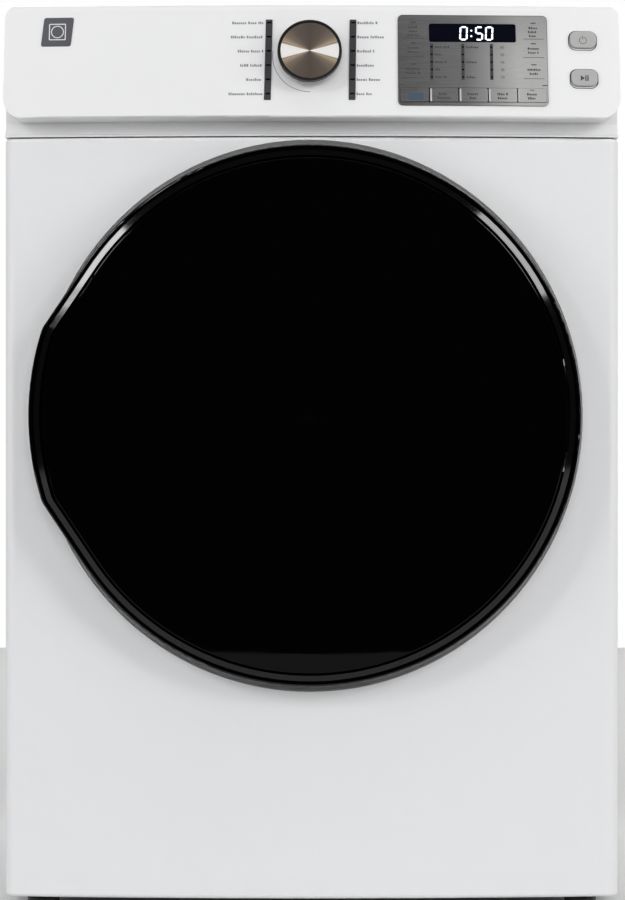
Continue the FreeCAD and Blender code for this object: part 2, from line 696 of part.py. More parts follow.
def bar(start, end, width, y):
    """A flat bar between two (x, z) points, with round ends."""
    reach = math.dist(start, end)
    turn = math.degrees(math.atan2(end[1] - start[1], end[0] - start[0]))
    body = box((0, reach), y, (-width / 2, width / 2))
    body = body.fuse([rod(width / 2, 0, 0, y), rod(width / 2, reach, 0, y)])
    body.rotate(Vector(), Vector(0, -1, 0), turn)
    return body.translated(Vector(start[0], 0, start[1]))


def idler_arm():
    plate_y = (305.0, 308.0)
    tail = (SPRING_X, 64.0)
    arm = bar(IDLER_PIVOT, IDLER_CENTRE, 16, plate_y).fuse(bar(IDLER_PIVOT, tail, 10, plate_y))
    arm = arm.fuse(rod(5, *IDLER_CENTRE, (306, 338)))
    return arm.cut(rod(4 + RUNNING, *IDLER_PIVOT, (290, 320)))


def idler_pulley():
    wheel = ring(IDLER_R, 5 + RUNNING, *IDLER_CENTRE, (BELT_Y[0] - 2, BELT_Y[1] + 2))
    return wheel


def idler_spring():
    """A tension spring from the bracket's foot up to the arm's tail."""
    low, high = 24.2, 58.8
    core = post(3.8, SPRING_X, 306.5, (low, high)).cut(post(2.6, SPRING_X, 306.5, (low - 1, high + 1)))
    turns = 12
    for index in range(turns):
        z = low + 1 + (high - low - 2) * index / (turns - 1)
        core = core.fuse(Part.makeTorus(4.0, 0.9, Vector(SPRING_X, 306.5, z)))
    return core


# --- air system ------------------------------------------------------------------------------
def blower_form(wall):
    y = (BLOWER_Y[0] + wall, BLOWER_Y[1] - wall)
    scroll = rod(BLOWER_R - wall, MOTOR_X, MOTOR_Z, y)
    outlet = box((-62 + wall, MOTOR_X), y, (MOTOR_Z - BLOWER_R + 6 + wall, 168 - wall))
    return scroll.fuse(outlet)


def blower_housing():
    """Two halves: a deep front case with the inlet, and a back cover with the outlet."""
    wall = 2.5
    shell = blower_form(0).cut(blower_form(wall))
    inlet = rod(48, MOTOR_X, MOTOR_Z, (90, 120))
    shaft_hole = rod(9, MOTOR_X, MOTOR_Z, (160, 190))
    outlet = rod(DUCT_BORE, DUCT_X, DUCT_Z, (160, 190))
    shell = shell.cut([inlet, shaft_hole, outlet]).removeSplitter()
    cover = box((-FAR, FAR), (BLOWER_Y[1] - wall, FAR), (0, FAR))
    return Part.makeCompound([shell.cut(cover), shell.common(cover)])


def blower_wheel():
    plate = ring(WHEEL_R, SHAFT_R, MOTOR_X, MOTOR_Z, (162, 166))
    hub = ring(14, SHAFT_R, MOTOR_X, MOTOR_Z, (120, 166))
    hoop_front = ring(WHEEL_R, WHEEL_R - 14, MOTOR_X, MOTOR_Z, (110, 113))
    wheel = plate.fuse([hub, hoop_front])
    count = 24
    for index in range(count):
        blade = box((WHEEL_R - 17, WHEEL_R - 3), (111, 163), (-0.9, 0.9))
        blade.rotate(Vector(WHEEL_R - 3, 0, 0), Vector(0, 1, 0), 25)
        blade.rotate(Vector(), Vector(0, 1, 0), 360 * index / count)
        wheel = wheel.fuse(blade.translated(Vector(MOTOR_X, 0, MOTOR_Z)))
    return wheel


def exhaust_duct():
    """A thin pipe to the rear panel, a thicker collar outside it and a flange on the blower."""
    start = BLOWER_Y[1] + 0.2
    collar_start = DUCT_END - COLLAR_LENGTH
    pipe = ring(DUCT_R - 0.7, DUCT_BORE, DUCT_X, DUCT_Z, (start, DUCT_END - 1))
    collar = ring(DUCT_R, DUCT_BORE, DUCT_X, DUCT_Z, (collar_start, DUCT_END))
    flange = ring(DUCT_R + 7, DUCT_BORE, DUCT_X, DUCT_Z, (start, start + 1.8))
    return pipe.fuse([collar, flange]).removeSplitter()


def lint_form(wall):
    y = (LINT_Y[0] + wall, LINT_Y[1] - wall)
    half = FILTER_HALF + 6 - wall
    upper = box((AXIS_X - half, AXIS_X + half), y, (72 + wall, 400))
    lower = box((AXIS_X - half, 212 - wall), y, (72 + wall, 190 - wall))
    return upper.fuse(lower)


def lint_duct():
    duct = lint_form(0).cut(lint_form(2)).cut(disc(MOUTH_R + 0.4, (0, 200)))
    return duct.cut(rod(48, MOTOR_X, MOTOR_Z, (95, 120))).removeSplitter()


def lint_filter():
    """A framed screen that lifts out of its slot by the tab on its top edge."""
    x = (AXIS_X - FILTER_HALF, AXIS_X + FILTER_HALF)
    frame = box(x, FILTER_Y, (140, 346))
    frame = frame.cut(box((x[0] + 9, x[1] - 9), FILTER_Y, (149, 334)))
    bars = []
    for share in (0.25, 0.5, 0.75):
        middle = x[0] + share * (x[1] - x[0])
        bars.append(box((middle - 1.5, middle + 1.5), (FILTER_Y[0] + 2, FILTER_Y[1] - 2), (145, 338)))
    bars.append(box((x[0] + 5, x[1] - 5), (FILTER_Y[0] + 2, FILTER_Y[1] - 2), (240, 243)))
    screen = box((x[0] + 6, x[1] - 6), (91.6, 92.4), (146, 337))
    tab = box((AXIS_X - 42, AXIS_X + 42), (88, 96), (344, 364))
    tab = tab.makeFillet(3, edges_along(tab, Vector(0, 1, 0)))
    return frame.fuse(bars + [screen, tab])


def heater_housing():
    duct = box((90, 250), (REAR_BULKHEAD_Y + SHEET + 0.3, 694), (330, 800))
    duct = duct.cut(box((91, 249), (REAR_BULKHEAD_Y + SHEET + 1.3, 693), (331, 799)))
    intake = box((110, 230), (660, 700), (320, 335))
    return duct.cut(intake)


def heater_coil():
    """A frame with three upright legs of heating wire."""
    y = 682.0
    legs = []
    for x in (120, 170, 220):
        legs.append(post(5, x, y, (360, 760)))
    for z in (380, 560, 740):
        legs.append(box((100, 240), (y - 2, y + 2), (z, z + 6)))
    return legs[0].fuse(legs[1:])


# --- door ------------------------------------------------------------------------------------
def door_outline(grow):
    """The door's edge: a circle, drawn out into a grip on the left."""
    base = DOOR_R + grow
    grip = GRIP_R + grow
    left = 180.0
    return [polar(base, left + GRIP_BLEND_ANGLE),
            (polar(base, 0), polar(base, left - GRIP_BLEND_ANGLE)),
            polar(grip, left - GRIP_HALF_ANGLE),
            (polar(grip, left), polar(grip, left + GRIP_HALF_ANGLE))]


def door_prism(grow, y):
    wire = outline(door_outline(grow), lambda x, z: Vector(x, y[0], z))
    prism = Part.Face(wire).extrude(Vector(0, y[1] - y[0], 0))
    return prism.makeFillet(30, edges_along(prism, Vector(0, 1, 0)))


def door_outer_ring():
    """A flat outer band, a bevelled bead round the pane and a ledge that the pane sits on."""
    frame = door_prism(0, (BAND_Y, DOOR_BACK))
    front = edges_at(frame, lambda p: p.y < BAND_Y + 0.1)
    frame = frame.makeFillet(2.5, front)
    back = edges_at(frame, lambda p: p.y > DOOR_BACK - 0.1)
    frame = frame.makeFillet(3, back)
    bead = door_prism(-BAND_WIDTH, (DOOR_FRONT, BAND_Y + 1))
    crest = edges_at(bead, lambda p: p.y < DOOR_FRONT + 0.1)
    bead = bead.makeChamfer(BEVEL_FALL, BEVEL_WIDTH, crest)
    ledge_r = 262
    seat = door_prism(WINDOW_GAP - WINDOW_INSET, (WINDOW_CROWN, -20))
    channel = hoop(294, 265, (-17, 0)).cut(hoop(282, 265, (-18, -16)))
    frame = frame.fuse(bead).cut([seat, disc(ledge_r, (-21, 10)), channel])
    skin = 1.2
    notch_z = (AXIS_Z - HINGE_ROOM + 2, AXIS_Z + HINGE_ROOM - 2)
    notch = box((270, 310), (BAND_Y + skin, 0), notch_z)
    return frame.cut(notch)


def cap_radius(half_width, height):
    """The radius of a dome that is this wide and this high."""
    return (half_width ** 2 + height ** 2) / (2 * height)


def sagitta(radius, distance):
    """How far a dome falls at a distance from its middle."""
    return radius - math.sqrt(radius ** 2 - distance ** 2)


def door_window():
    """The domed outer pane: a thick cap trimmed to the door's own outline."""
    outer = cap_radius(DOOR_R - WINDOW_INSET, DOME_FALL)
    seat_r = 262.5
    seat_y = -20.2
    inner_crown = WINDOW_CROWN + WINDOW_THICK
    inner = cap_radius(seat_r, seat_y - inner_crown)
    far = DOOR_R + WINDOW_INSET
    middle = DOOR_R / 2
    front = []
    for radius in (middle, far):
        front.append((radius, WINDOW_CROWN + sagitta(outer, radius)))
    hollow = ((middle, inner_crown + sagitta(inner, middle)), (0, inner_crown))
    cap = turned([(0, WINDOW_CROWN), tuple(front), (far, seat_y), (seat_r, seat_y), hollow])
    pane = cap.common(door_prism(-WINDOW_INSET, (2 * WINDOW_CROWN, 0)))
    axis = (AXIS_X, AXIS_Z)
    rim = []
    for edge in edges_at(pane, lambda p: p.y < seat_y - 1 and math.dist((p.x, p.z), axis) > seat_r):
        if abs(edge.tangentAt(edge.FirstParameter).y) < 0.5:
            rim.append(edge)
    return pane.makeFillet(DOME_ROLL, rim)


def door_inner_frame():
    """The door's back: a flat rim on the outer ring, and the plug that enters the opening."""
    wall = 2.5
    flange = DOOR_BACK + 0.2
    rim_r = 292
    face = 28.5
    bore = 206
    back = turned([
        (PLUG_R - wall, flange), (rim_r, flange), (rim_r, flange + wall), (PLUG_R, flange + wall),
        (PLUG_R, face), (bore, face), (bore, face - wall), (PLUG_R - wall, face - wall)])
    return back.cut(box((262, 320), (-30, 10), (AXIS_Z - HINGE_ROOM, AXIS_Z + HINGE_ROOM)))


def door_glass_bowl():
    """The inner bowl, which reaches through the throat and keeps the clothes off the door."""
    wall = 5.0
    lip = 20.8
    floor = 80
    outer_turn = ((172, 76), (162, floor))
    inner_turn = ((167, 72.5), (171.5, 66))
    return turned([
        (238, lip), (238, lip + wall), (205.5, lip + wall), (203, lip + 12), (176, 68), outer_turn,
        (0, floor), (0, floor - wall), (160, floor - wall), inner_turn, (197, lip + 6), (197, lip)])


def door_gasket():
    return hoop(240, 227, (28.6, MOUTH_FACE - 0.4))


def door_hinge_arm():
    z = (AXIS_Z - HINGE_HALF, AXIS_Z + HINGE_HALF)
    knuckle = post(6, HINGE_X, HINGE_Y, z)
    web = box((HINGE_X - 9, HINGE_X - 3), (HINGE_Y - 2, -1.3), z)
    plate = box((262.5, HINGE_X - 3), (DOOR_BACK + 0.2, -1.3), z)
    arm = knuckle.fuse([web, plate])
    return arm.cut(post(HINGE_PIN_R + RUNNING, HINGE_X, HINGE_Y, (z[0] - 5, z[1] + 5)))


def hinge_bracket():
    """The leaf on the cabinet with its two ears, and the pin riveted through them."""
    leaf = box((256, 288), (DISH_FLOOR - 2.3, DISH_FLOOR - 0.1), (AXIS_Z - 56, AXIS_Z + 56))
    pieces = []
    for sign in (-1, 1):
        z = sorted((AXIS_Z + sign * HINGE_EAR_Z[0], AXIS_Z + sign * HINGE_EAR_Z[1]))
        ear_x = (HINGE_X - HINGE_EAR_HALF, HINGE_X + HINGE_EAR_HALF)
        pieces.append(box(ear_x, (HINGE_Y, DISH_FLOOR - 1), z))
        pieces.append(post(HINGE_EAR_HALF, HINGE_X, HINGE_Y, z))
    pieces.append(post(HINGE_PIN_R, HINGE_X, HINGE_Y, (AXIS_Z - 52, AXIS_Z + 52)))
    return leaf.fuse(pieces)


def door_striker():
    x = (LATCH_X - 3, LATCH_X + 3)
    z = (LATCH_Z - 7, LATCH_Z + 7)
    shank = box(x, (-1.2, 22), z)
    head = box((x[0] - 1.5, x[1] + 1.5), (18, 24), z)
    foot = box((x[0] - 4, x[1] + 4), (-1.3, 1), (z[0] - 5, z[1] + 5))
    return shank.fuse([head, foot])


def door_catch():
    depth = (DISH_FLOOR + SHEET + 0.3, MOUTH_FACE - 0.5)
    body = box((LATCH_X - 9.5, LATCH_X + 9.5), depth, (LATCH_Z - 20, LATCH_Z + 20))
    return body.cut(latch_slot(0, 30))


# --- rear fittings and fasteners -------------------------------------------------------------
def terminal_cover():
    cover = box((180, 280), (BACK_Y + 0.2, BACK_Y + 16), (862, 962))
    rim = edges_at(cover, lambda p: p.y > BACK_Y + 15.9)
    cover = cover.makeFillet(4, rim)
    return cover.cut(box((182, 278), (BACK_Y, BACK_Y + 14), (864, 960)))


def cord_inlet():
    """The empty bushing for the supply lead."""
    bush = rod(20, *CORD_AT, (BACK_Y + 0.2, BACK_Y + 5)).fuse(rod(13.6, *CORD_AT, (688, BACK_Y + 12)))
    return bush.cut(rod(10, *CORD_AT, (680, 720)))


def cabinet_screws():
    """Hex-head screws round the edge of the rear panel."""
    places = []
    for z in (60, 290, 520, 750, 970):
        places += [(-329, z), (329, z)]
    for x in (-200, 0, 200):
        places.append((x, 988))
    screws = []
    for x, z in places:
        head = Part.Face(Part.makePolygon(hexagon(x, z, 4.5, BACK_Y + 1.2))).extrude(Vector(0, 4, 0))
        screws.append(head.fuse(rod(6.5, x, z, (BACK_Y + 0.1, BACK_Y + 1.4))))
    return Part.makeCompound(screws)


def hexagon(x, z, radius, y):
    corners = []
    for index in range(7):
        turn = math.radians(60 * index)
        corners.append(Vector(x + radius * math.cos(turn), y, z + radius * math.sin(turn)))
    return corners


def leveling_foot(x, y):
    pad = post(FOOT_R, x, y, (0, 12))
    pad = pad.makeFillet(2, edges_at(pad, lambda p: math.dist((p.x, p.y), (x, y)) > FOOT_R - 0.1))
    nut = Part.Face(Part.makePolygon([Vector(p.x, y + p.z, 11) for p in hexagon(x, 0, 9, 0)]))
    return pad.fuse([nut.extrude(Vector(0, 0, 6)), post(STEM_R, x, y, (10, 62))])


def main():
    os.makedirs("parts", exist_ok=True)
    pieces = {
        "front_panel": front_panel(),
        "side_panel_left": side_panel(-1),
        "side_panel_right": side_panel(1),
        "rear_panel": rear_panel(),
        "base_pan": base_pan(),
        "top_panel": top_panel(),
        "console_fascia": console_fascia(),
        "control_board": control_board(),
        "display_panel": display_panel(),
        "display_window": display_window(),
        "cycle_indicators": cycle_indicators(),
        "front_bulkhead": front_bulkhead(),
        "rear_bulkhead": rear_bulkhead(),
        "felt_seals": felt_seals(),
        "heater_housing": heater_housing(),
        "heater_coil": heater_coil(),
        "lint_duct": lint_duct(),
        "blower_housing": blower_housing(),
        "exhaust_duct": exhaust_duct(),
        "motor_housing": motor_housing(),
        "motor_bracket": motor_bracket(),
        "roller_axles": roller_axles(),
        "drive_belt": drive_belt(),
        "idler_spring": idler_spring(),
        "hinge_bracket": hinge_bracket(),
        "door_catch": door_catch(),
        "terminal_cover": terminal_cover(),
        "cord_inlet": cord_inlet(),
        "cabinet_screws": cabinet_screws(),
        "drum_shell": drum_shell(),
        "drum_baffles": drum_baffles(),
        "motor_shaft": motor_shaft(),
        "blower_wheel": blower_wheel(),
        "idler_arm": idler_arm(),
        "idler_pulley": idler_pulley(),
        "door_outer_ring": door_outer_ring(),
        "door_window": door_window(),
        "door_inner_frame": door_inner_frame(),
        "door_glass_bowl": door_glass_bowl(),
        "door_gasket": door_gasket(),
        "door_hinge_arm": door_hinge_arm(),
        "door_striker": door_striker(),
        "selector_knob": knob_body(),
        "knob_cap": knob_cap(),
        "power_button": push_button(POWER_AT),
        "start_button": push_button(START_AT),
        "lint_filter": lint_filter(),
    }
    for end, x, z, y in roller_places():
        pieces["support_roller_" + end] = support_roller(x, z, y)
    for index in range(KEY_COUNT):
        pieces["option_key_" + str(index + 1)] = option_key(index)
    for hand, x in (("left", -FOOT_X), ("right", FOOT_X)):
        for end, y in zip(("front", "rear"), FOOT_Y):
            pieces["leveling_foot_" + end + "_" + hand] = leveling_foot(x, y)
    for node, shape in pieces.items():
        save(node, shape)


main()
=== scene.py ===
import json
import math
import random

import bmesh
import bpy
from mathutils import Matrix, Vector

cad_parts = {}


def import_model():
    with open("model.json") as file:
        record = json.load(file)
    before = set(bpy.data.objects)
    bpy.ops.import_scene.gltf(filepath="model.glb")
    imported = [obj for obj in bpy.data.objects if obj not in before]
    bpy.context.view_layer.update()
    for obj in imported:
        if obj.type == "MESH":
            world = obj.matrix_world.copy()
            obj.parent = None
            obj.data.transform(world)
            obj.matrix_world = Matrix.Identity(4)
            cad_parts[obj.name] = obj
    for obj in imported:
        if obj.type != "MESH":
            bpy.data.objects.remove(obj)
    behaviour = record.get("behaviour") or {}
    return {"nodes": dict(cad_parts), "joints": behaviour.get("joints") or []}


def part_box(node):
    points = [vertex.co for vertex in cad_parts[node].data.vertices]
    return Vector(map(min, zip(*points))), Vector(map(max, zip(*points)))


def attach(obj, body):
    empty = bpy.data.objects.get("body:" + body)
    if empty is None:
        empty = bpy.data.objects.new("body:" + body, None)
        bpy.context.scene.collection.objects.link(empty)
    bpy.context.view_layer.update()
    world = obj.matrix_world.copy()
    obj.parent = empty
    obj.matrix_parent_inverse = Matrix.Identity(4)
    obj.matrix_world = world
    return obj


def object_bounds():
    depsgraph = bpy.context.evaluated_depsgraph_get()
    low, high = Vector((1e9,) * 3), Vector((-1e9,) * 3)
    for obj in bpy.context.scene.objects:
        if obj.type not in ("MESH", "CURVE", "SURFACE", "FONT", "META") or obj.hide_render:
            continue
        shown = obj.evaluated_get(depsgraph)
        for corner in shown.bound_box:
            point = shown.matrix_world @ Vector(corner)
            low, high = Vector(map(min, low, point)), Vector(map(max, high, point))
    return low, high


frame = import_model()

# A front-loading clothes dryer. Metres, +Z up, the front faces -Y. Every place is worked out from
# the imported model: its boxes, its joints and its bounds.

cad_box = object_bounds()
MM = 0.001
PLATE = 1.5 * MM             # how far the display plate stands off the control face
LENS_SUNK = 0.3 * MM         # how far the display's lens lies behind the plate's front
JOINTS = {joint["name"]: joint for joint in frame["joints"]}
rng = random.Random(11)


def middle(node):
    low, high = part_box(node)
    return (low + high) / 2


def size(node):
    low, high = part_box(node)
    return high - low


# --- the bowed, tilted control face -----------------------------------------------------------
KNOB = Vector(JOINTS["knob_turn"]["pos_m"])
TILT = math.asin(JOINTS["knob_turn"]["axis"][2])
START_PRESS = Vector(JOINTS["start_button_press"]["axis"])
START = middle("start_button")
START_TURN = math.atan2(-START_PRESS.x, START_PRESS.y)


START_BOW = START.x / math.sin(START_TURN)      # radius of the face's bow at the start button's height


def crown_y(z):
    """Depth of the control face on the machine's middle line."""
    return KNOB.y + (z - KNOB.z) * math.tan(TILT)


def on_face(x, z, lift=0.0):
    """The point of the control face at (x, z), or one lifted off it."""
    radius = START_BOW - (crown_y(z) - crown_y(START.z))
    turn = math.asin(x / radius)
    out = Vector((math.sin(turn) * math.cos(TILT), -math.cos(turn) * math.cos(TILT), math.sin(TILT)))
    return Vector((x, crown_y(z) + radius * (1 - math.cos(turn)), z)) + out * lift


def over_panel(x, z, lift=0.0):
    """The same, above the display plate."""
    return on_face(x, z, lift + PLATE)


DOOR_AXIS = Vector(JOINTS["drum_spin"]["pos_m"])
DOOR_AXIS.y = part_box("door_window")[0].y


# --- procedural materials ----------------------------------------------------------------------
class Look:
    """A node material under construction. Points are read in the object's own metres."""

    def __init__(self, name, **sockets):
        self.material = bpy.data.materials.new("look_" + name)
        self.material.use_nodes = True
        self.tree = self.material.node_tree
        self.shader = self.tree.nodes["Principled BSDF"]
        self.place = self.tree.nodes.new("ShaderNodeTexCoord").outputs["Object"]
        for name, value in sockets.items():
            self.shader.inputs[name.replace("_", " ")].default_value = value

    def put(self, kind, inputs=(), **settings):
        """A node with its settings, and its inputs by name: a value or another node's socket."""
        node = self.tree.nodes.new("ShaderNode" + kind)
        for key, value in settings.items():
            setattr(node, key, value)
        for key, value in dict(inputs).items():
            if isinstance(value, bpy.types.NodeSocket):
                self.tree.links.new(value, node.inputs[key])
            else:
                node.inputs[key].default_value = value
        return node

    def stretched(self, x=1.0, y=1.0, z=1.0):
        return self.put("Mapping", {"Vector": self.place, "Scale": (x, y, z)}).outputs["Vector"]

    def noise(self, scale, detail=3.0, roughness=0.5, place=None):
        inputs = {"Vector": place or self.place, "Scale": scale, "Detail": detail, "Roughness": roughness}
        return self.put("TexNoise", inputs).outputs["Fac"]

    def cells(self, scale, output="Color", feature="F1", place=None):
        inputs = {"Vector": place or self.place, "Scale": scale}
        return self.put("TexVoronoi", inputs, feature=feature).outputs[output]

    def between(self, value, low, high, start=0.0, stop=1.0):
        inputs = {"Value": value, "From Min": start, "From Max": stop, "To Min": low, "To Max": high}
        return self.put("MapRange", inputs).outputs["Result"]

    def calc(self, operation, first, second=0.0):
        return self.put("Math", {0: first, 1: second}, operation=operation).outputs["Value"]

    def split(self, place=None):
        node = self.put("SeparateXYZ", {"Vector": place or self.place})
        return [node.outputs[axis] for axis in "XYZ"]

    def ramp(self, value, *stops):
        node = self.put("ValToRGB", {"Fac": value})
        ramp = node.color_ramp
        while len(ramp.elements) < len(stops):
            ramp.elements.new(0.5)
        for element, (position, color) in zip(ramp.elements, stops):
            element.position = position
            element.color = (*color, 1.0)
        return node.outputs["Color"]

    def mix(self, factor, first, second):
        node = self.put("Mix", data_type="RGBA")
        for index, value in ((0, factor), (6, first), (7, second)):
            if isinstance(value, bpy.types.NodeSocket):
                self.tree.links.new(value, node.inputs[index])
            else:
                node.inputs[index].default_value = (*value, 1.0) if index else value
        return node.outputs[2]

    def bump(self, *heights):
        """Adds up bumps, each (height socket, depth in metres)."""
        normal = None
        for height, depth in heights:
            inputs = {"Height": height, "Distance": depth, "Strength": 1.0}
            if normal:
                inputs["Normal"] = normal
            normal = self.put("Bump", inputs).outputs["Normal"]
        self.tree.links.new(normal, self.shader.inputs["Normal"])
        return self

    def use(self, **sockets):
        """Links sockets of the shader, such as Roughness=value."""
        for name, value in sockets.items():
            self.tree.links.new(value, self.shader.inputs[name.replace("_", " ")])
        return self


def shade(color, factor):
    return tuple(min(1.0, part * factor) for part in color)


def plain(name, color, roughness, grain, depth, drift=0.06, **sockets):
    """A moulded or painted surface: slow colour drift, uneven gloss and a fine grain."""
    look = Look(name, **sockets)
    slow = look.noise(9.0, 2.0)
    fine = look.noise(grain, 4.0, 0.6)
    tone = look.mix(slow, shade(color, 1 - drift), shade(color, 1 + drift))
    worn = look.between(fine, 0.0, 0.35, 0.3, 0.7)
    look.use(Base_Color=look.mix(worn, tone, shade(color, 1 - 2 * drift)))
    look.use(Roughness=look.between(slow, roughness - 0.04, roughness + 0.05, 0.3, 0.7))
    return look.bump((fine, depth))


def white_enamel():
    """Powder coat over sheet steel: soft gloss with a very fine orange peel."""
    color = (0.80, 0.803, 0.812)
    look = Look("white_enamel", Coat_Weight=0.12, Coat_Roughness=0.22)
    slow = look.noise(3.0, 1.0)
    peel = look.noise(520.0, 2.0, 0.45)
    speck = look.noise(2400.0, 1.0)
    look.use(Base_Color=look.mix(slow, shade(color, 0.985), shade(color, 1.01)))
    look.use(Roughness=look.between(peel, 0.36, 0.46, 0.35, 0.65))
    return look.bump((peel, 0.00005), (speck, 0.00001))


def white_plastic():
    """The console's moulding: a shade warmer than the enamel, with a fine spark-eroded grain."""
    color = (0.815, 0.815, 0.82)
    look = Look("white_plastic")
    slow = look.noise(5.0, 1.0)
    grain = look.noise(3200.0, 3.0, 0.6)
    look.use(Base_Color=look.mix(slow, shade(color, 0.985), shade(color, 1.01)))
    look.use(Roughness=look.between(grain, 0.38, 0.5, 0.3, 0.7))
    return look.bump((grain, 0.000012))


def zinc_steel():
    """Galvanised sheet with its spangle."""
    look = Look("zinc_steel", Metallic=1.0)
    spangle = look.cells(95.0)
    fine = look.noise(700.0, 4.0, 0.7)
    grey = look.put("RGBToBW", {"Color": spangle}).outputs["Val"]
    tone = look.ramp(grey, (0.2, (0.42, 0.43, 0.45)), (0.8, (0.62, 0.63, 0.64)))
    look.use(Base_Color=look.mix(look.between(fine, 0.0, 0.5, 0.4, 0.7), tone, (0.40, 0.41, 0.42)))
    look.use(Roughness=look.between(grey, 0.34, 0.58, 0.2, 0.8))
    return look.bump((fine, 0.00003))


def drum_steel():
    """Satin stainless drum, brushed round its axis, with rolled dimples."""
    look = Look("drum_steel", Metallic=1.0)
    lines = look.noise(60.0, 5.0, 0.7, look.stretched(1.0, 40.0, 1.0))
    dimples = look.cells(38.0, "Distance", "SMOOTH_F1")
    look.use(Base_Color=look.ramp(lines, (0.3, (0.52, 0.52, 0.53)), (0.7, (0.70, 0.70, 0.71))))
    look.use(Roughness=look.between(lines, 0.24, 0.4, 0.3, 0.7))
    return look.bump((lines, 0.00002), (look.between(dimples, 0.0, 1.0, 0.1, 0.35), 0.0004))


def gloss_black(name, roughness, haze, level):
    """Polished black with wipe marks, fine dust and hairline scratches in its gloss."""
    look = Look(name, IOR=1.5, Specular_IOR_Level=level)
    wipe = look.noise(14.0, 3.0, 0.6, look.stretched(1.0, 1.0, 2.6))
    dust = look.noise(2600.0, 2.0, 0.7)
    scratch = look.noise(240.0, 2.0, 0.5, look.stretched(9.0, 1.0, 0.6))
    wiped = look.between(wipe, 0.0, haze, 0.42, 0.75)
    marks = look.calc("ADD", wiped, look.between(scratch, 0.0, haze, 0.66, 0.8))
    look.use(Roughness=look.calc("ADD", marks, roughness))
    specks = look.ramp(dust, (0.55, (0.0006, 0.0006, 0.0007)), (0.85, (0.0025, 0.0025, 0.0028)))
    look.use(Base_Color=specks)
    return look.bump((wipe, 0.000015))


def clear_glass():
    look = Look("clear_glass", Transmission_Weight=0.92, IOR=1.47, Metallic=0.0)
    press = look.noise(26.0, 2.0, 0.4)
    look.use(Base_Color=look.ramp(press, (0.3, (0.78, 0.83, 0.82)), (0.7, (0.88, 0.92, 0.91))))
    look.use(Roughness=look.between(press, 0.02, 0.07))
    return look.bump((press, 0.0008))


def bronze_cap_painted_highlights():
    """Circular-brushed bronze with painted highlights: two bright wedges left and right of the middle,
    painted into its colour.
    """
    look = Look("bronze_metal", Metallic=0.1)
    x, _, z = look.split()
    across = look.calc("SUBTRACT", x, KNOB.x)
    up = look.calc("SUBTRACT", z, middle("knob_cap").z)
    up = look.calc("DIVIDE", up, math.cos(TILT))
    squares = look.calc("ADD", look.calc("POWER", across, 2.0), look.calc("POWER", up, 2.0))
    reach = look.calc("SQRT", squares)
    lean = look.calc("ARCTAN2", look.calc("ABSOLUTE", up), look.calc("ABSOLUTE", across))
    lean = look.calc("DIVIDE", lean, math.pi / 2)
    rings = look.put("CombineXYZ", {"X": reach, "Y": 0.0, "Z": 0.0}).outputs["Vector"]
    lathe_marks = look.noise(9000.0, 3.0, 0.7, rings)
    turned = look.put("CombineXYZ", {"X": lean, "Y": look.between(up, 0.0, 9.0, -0.001, 0.001)})
    glint = look.noise(7.0, 4.0, 0.7, turned.outputs["Vector"])
    painted_highlight_angle = look.calc("ADD", lean, look.between(glint, -0.02, 0.02))
    # Painted highlights: near-white wedges left and right of the middle, edged with a dark line and gold,
    # turning to dark brown above and below.
    tone = look.ramp(
        painted_highlight_angle,
        (0.0, (1.0, 0.985, 0.96)), (0.17, (0.98, 0.95, 0.91)), (0.195, (0.22, 0.15, 0.10)),
        (0.225, (0.46, 0.37, 0.25)), (0.36, (0.20, 0.155, 0.115)), (0.60, (0.105, 0.082, 0.066)),
        (1.0, (0.072, 0.055, 0.045)))
    marks = look.between(lathe_marks, 0.0, 0.45, 0.35, 0.75)
    look.use(Base_Color=look.mix(marks, tone, (0.11, 0.085, 0.07)))
    look.use(Roughness=look.between(lathe_marks, 0.28, 0.46, 0.3, 0.7))
    return look.bump((lathe_marks, 0.00002))


def brushed_silver():
    """Brushed plate of the display, with a painted reflection: its colour lightens from left to right."""
    look = Look("brushed_silver", Metallic=0.45)
    low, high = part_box("display_panel")
    x, _, z = look.split()
    lines = look.noise(160.0, 5.0, 0.75, look.stretched(0.06, 6.0, 9.0))
    slow = look.noise(14.0, 2.0)
    across = look.between(x, 0.0, 1.0, low.x, high.x)
    # Painted reflection: dark on the left, light on the right.
    tone = look.ramp(
        across,
        (0.0, (0.042, 0.042, 0.042)), (0.45, (0.14, 0.14, 0.14)),
        (0.8, (0.60, 0.60, 0.59)), (1.0, (0.58, 0.58, 0.57)))
    # Darker towards the plate's top edge.
    top = look.mix(look.between(z, 0.0, 0.4, high.z - 0.05, high.z), tone, (0.12, 0.12, 0.12))
    streaks = look.mix(look.between(lines, 0.0, 0.4, 0.3, 0.7), top, (0.32, 0.32, 0.315))
    look.use(Base_Color=look.mix(look.between(slow, 0.0, 0.25), streaks, (0.22, 0.22, 0.225)))
    look.use(Roughness=look.between(lines, 0.36, 0.55, 0.3, 0.7))
    return look.bump((lines, 0.00002))


def display_black():
    """Smoked lens over the display, faintly blue."""
    look = Look("display_black", IOR=1.49)
    slow = look.noise(30.0, 2.0)
    look.use(Base_Color=look.mix(slow, (0.0015, 0.0018, 0.004), (0.004, 0.0045, 0.012)))
    look.use(Roughness=look.between(slow, 0.10, 0.18))
    return look.bump((look.noise(900.0, 2.0), 0.000004))


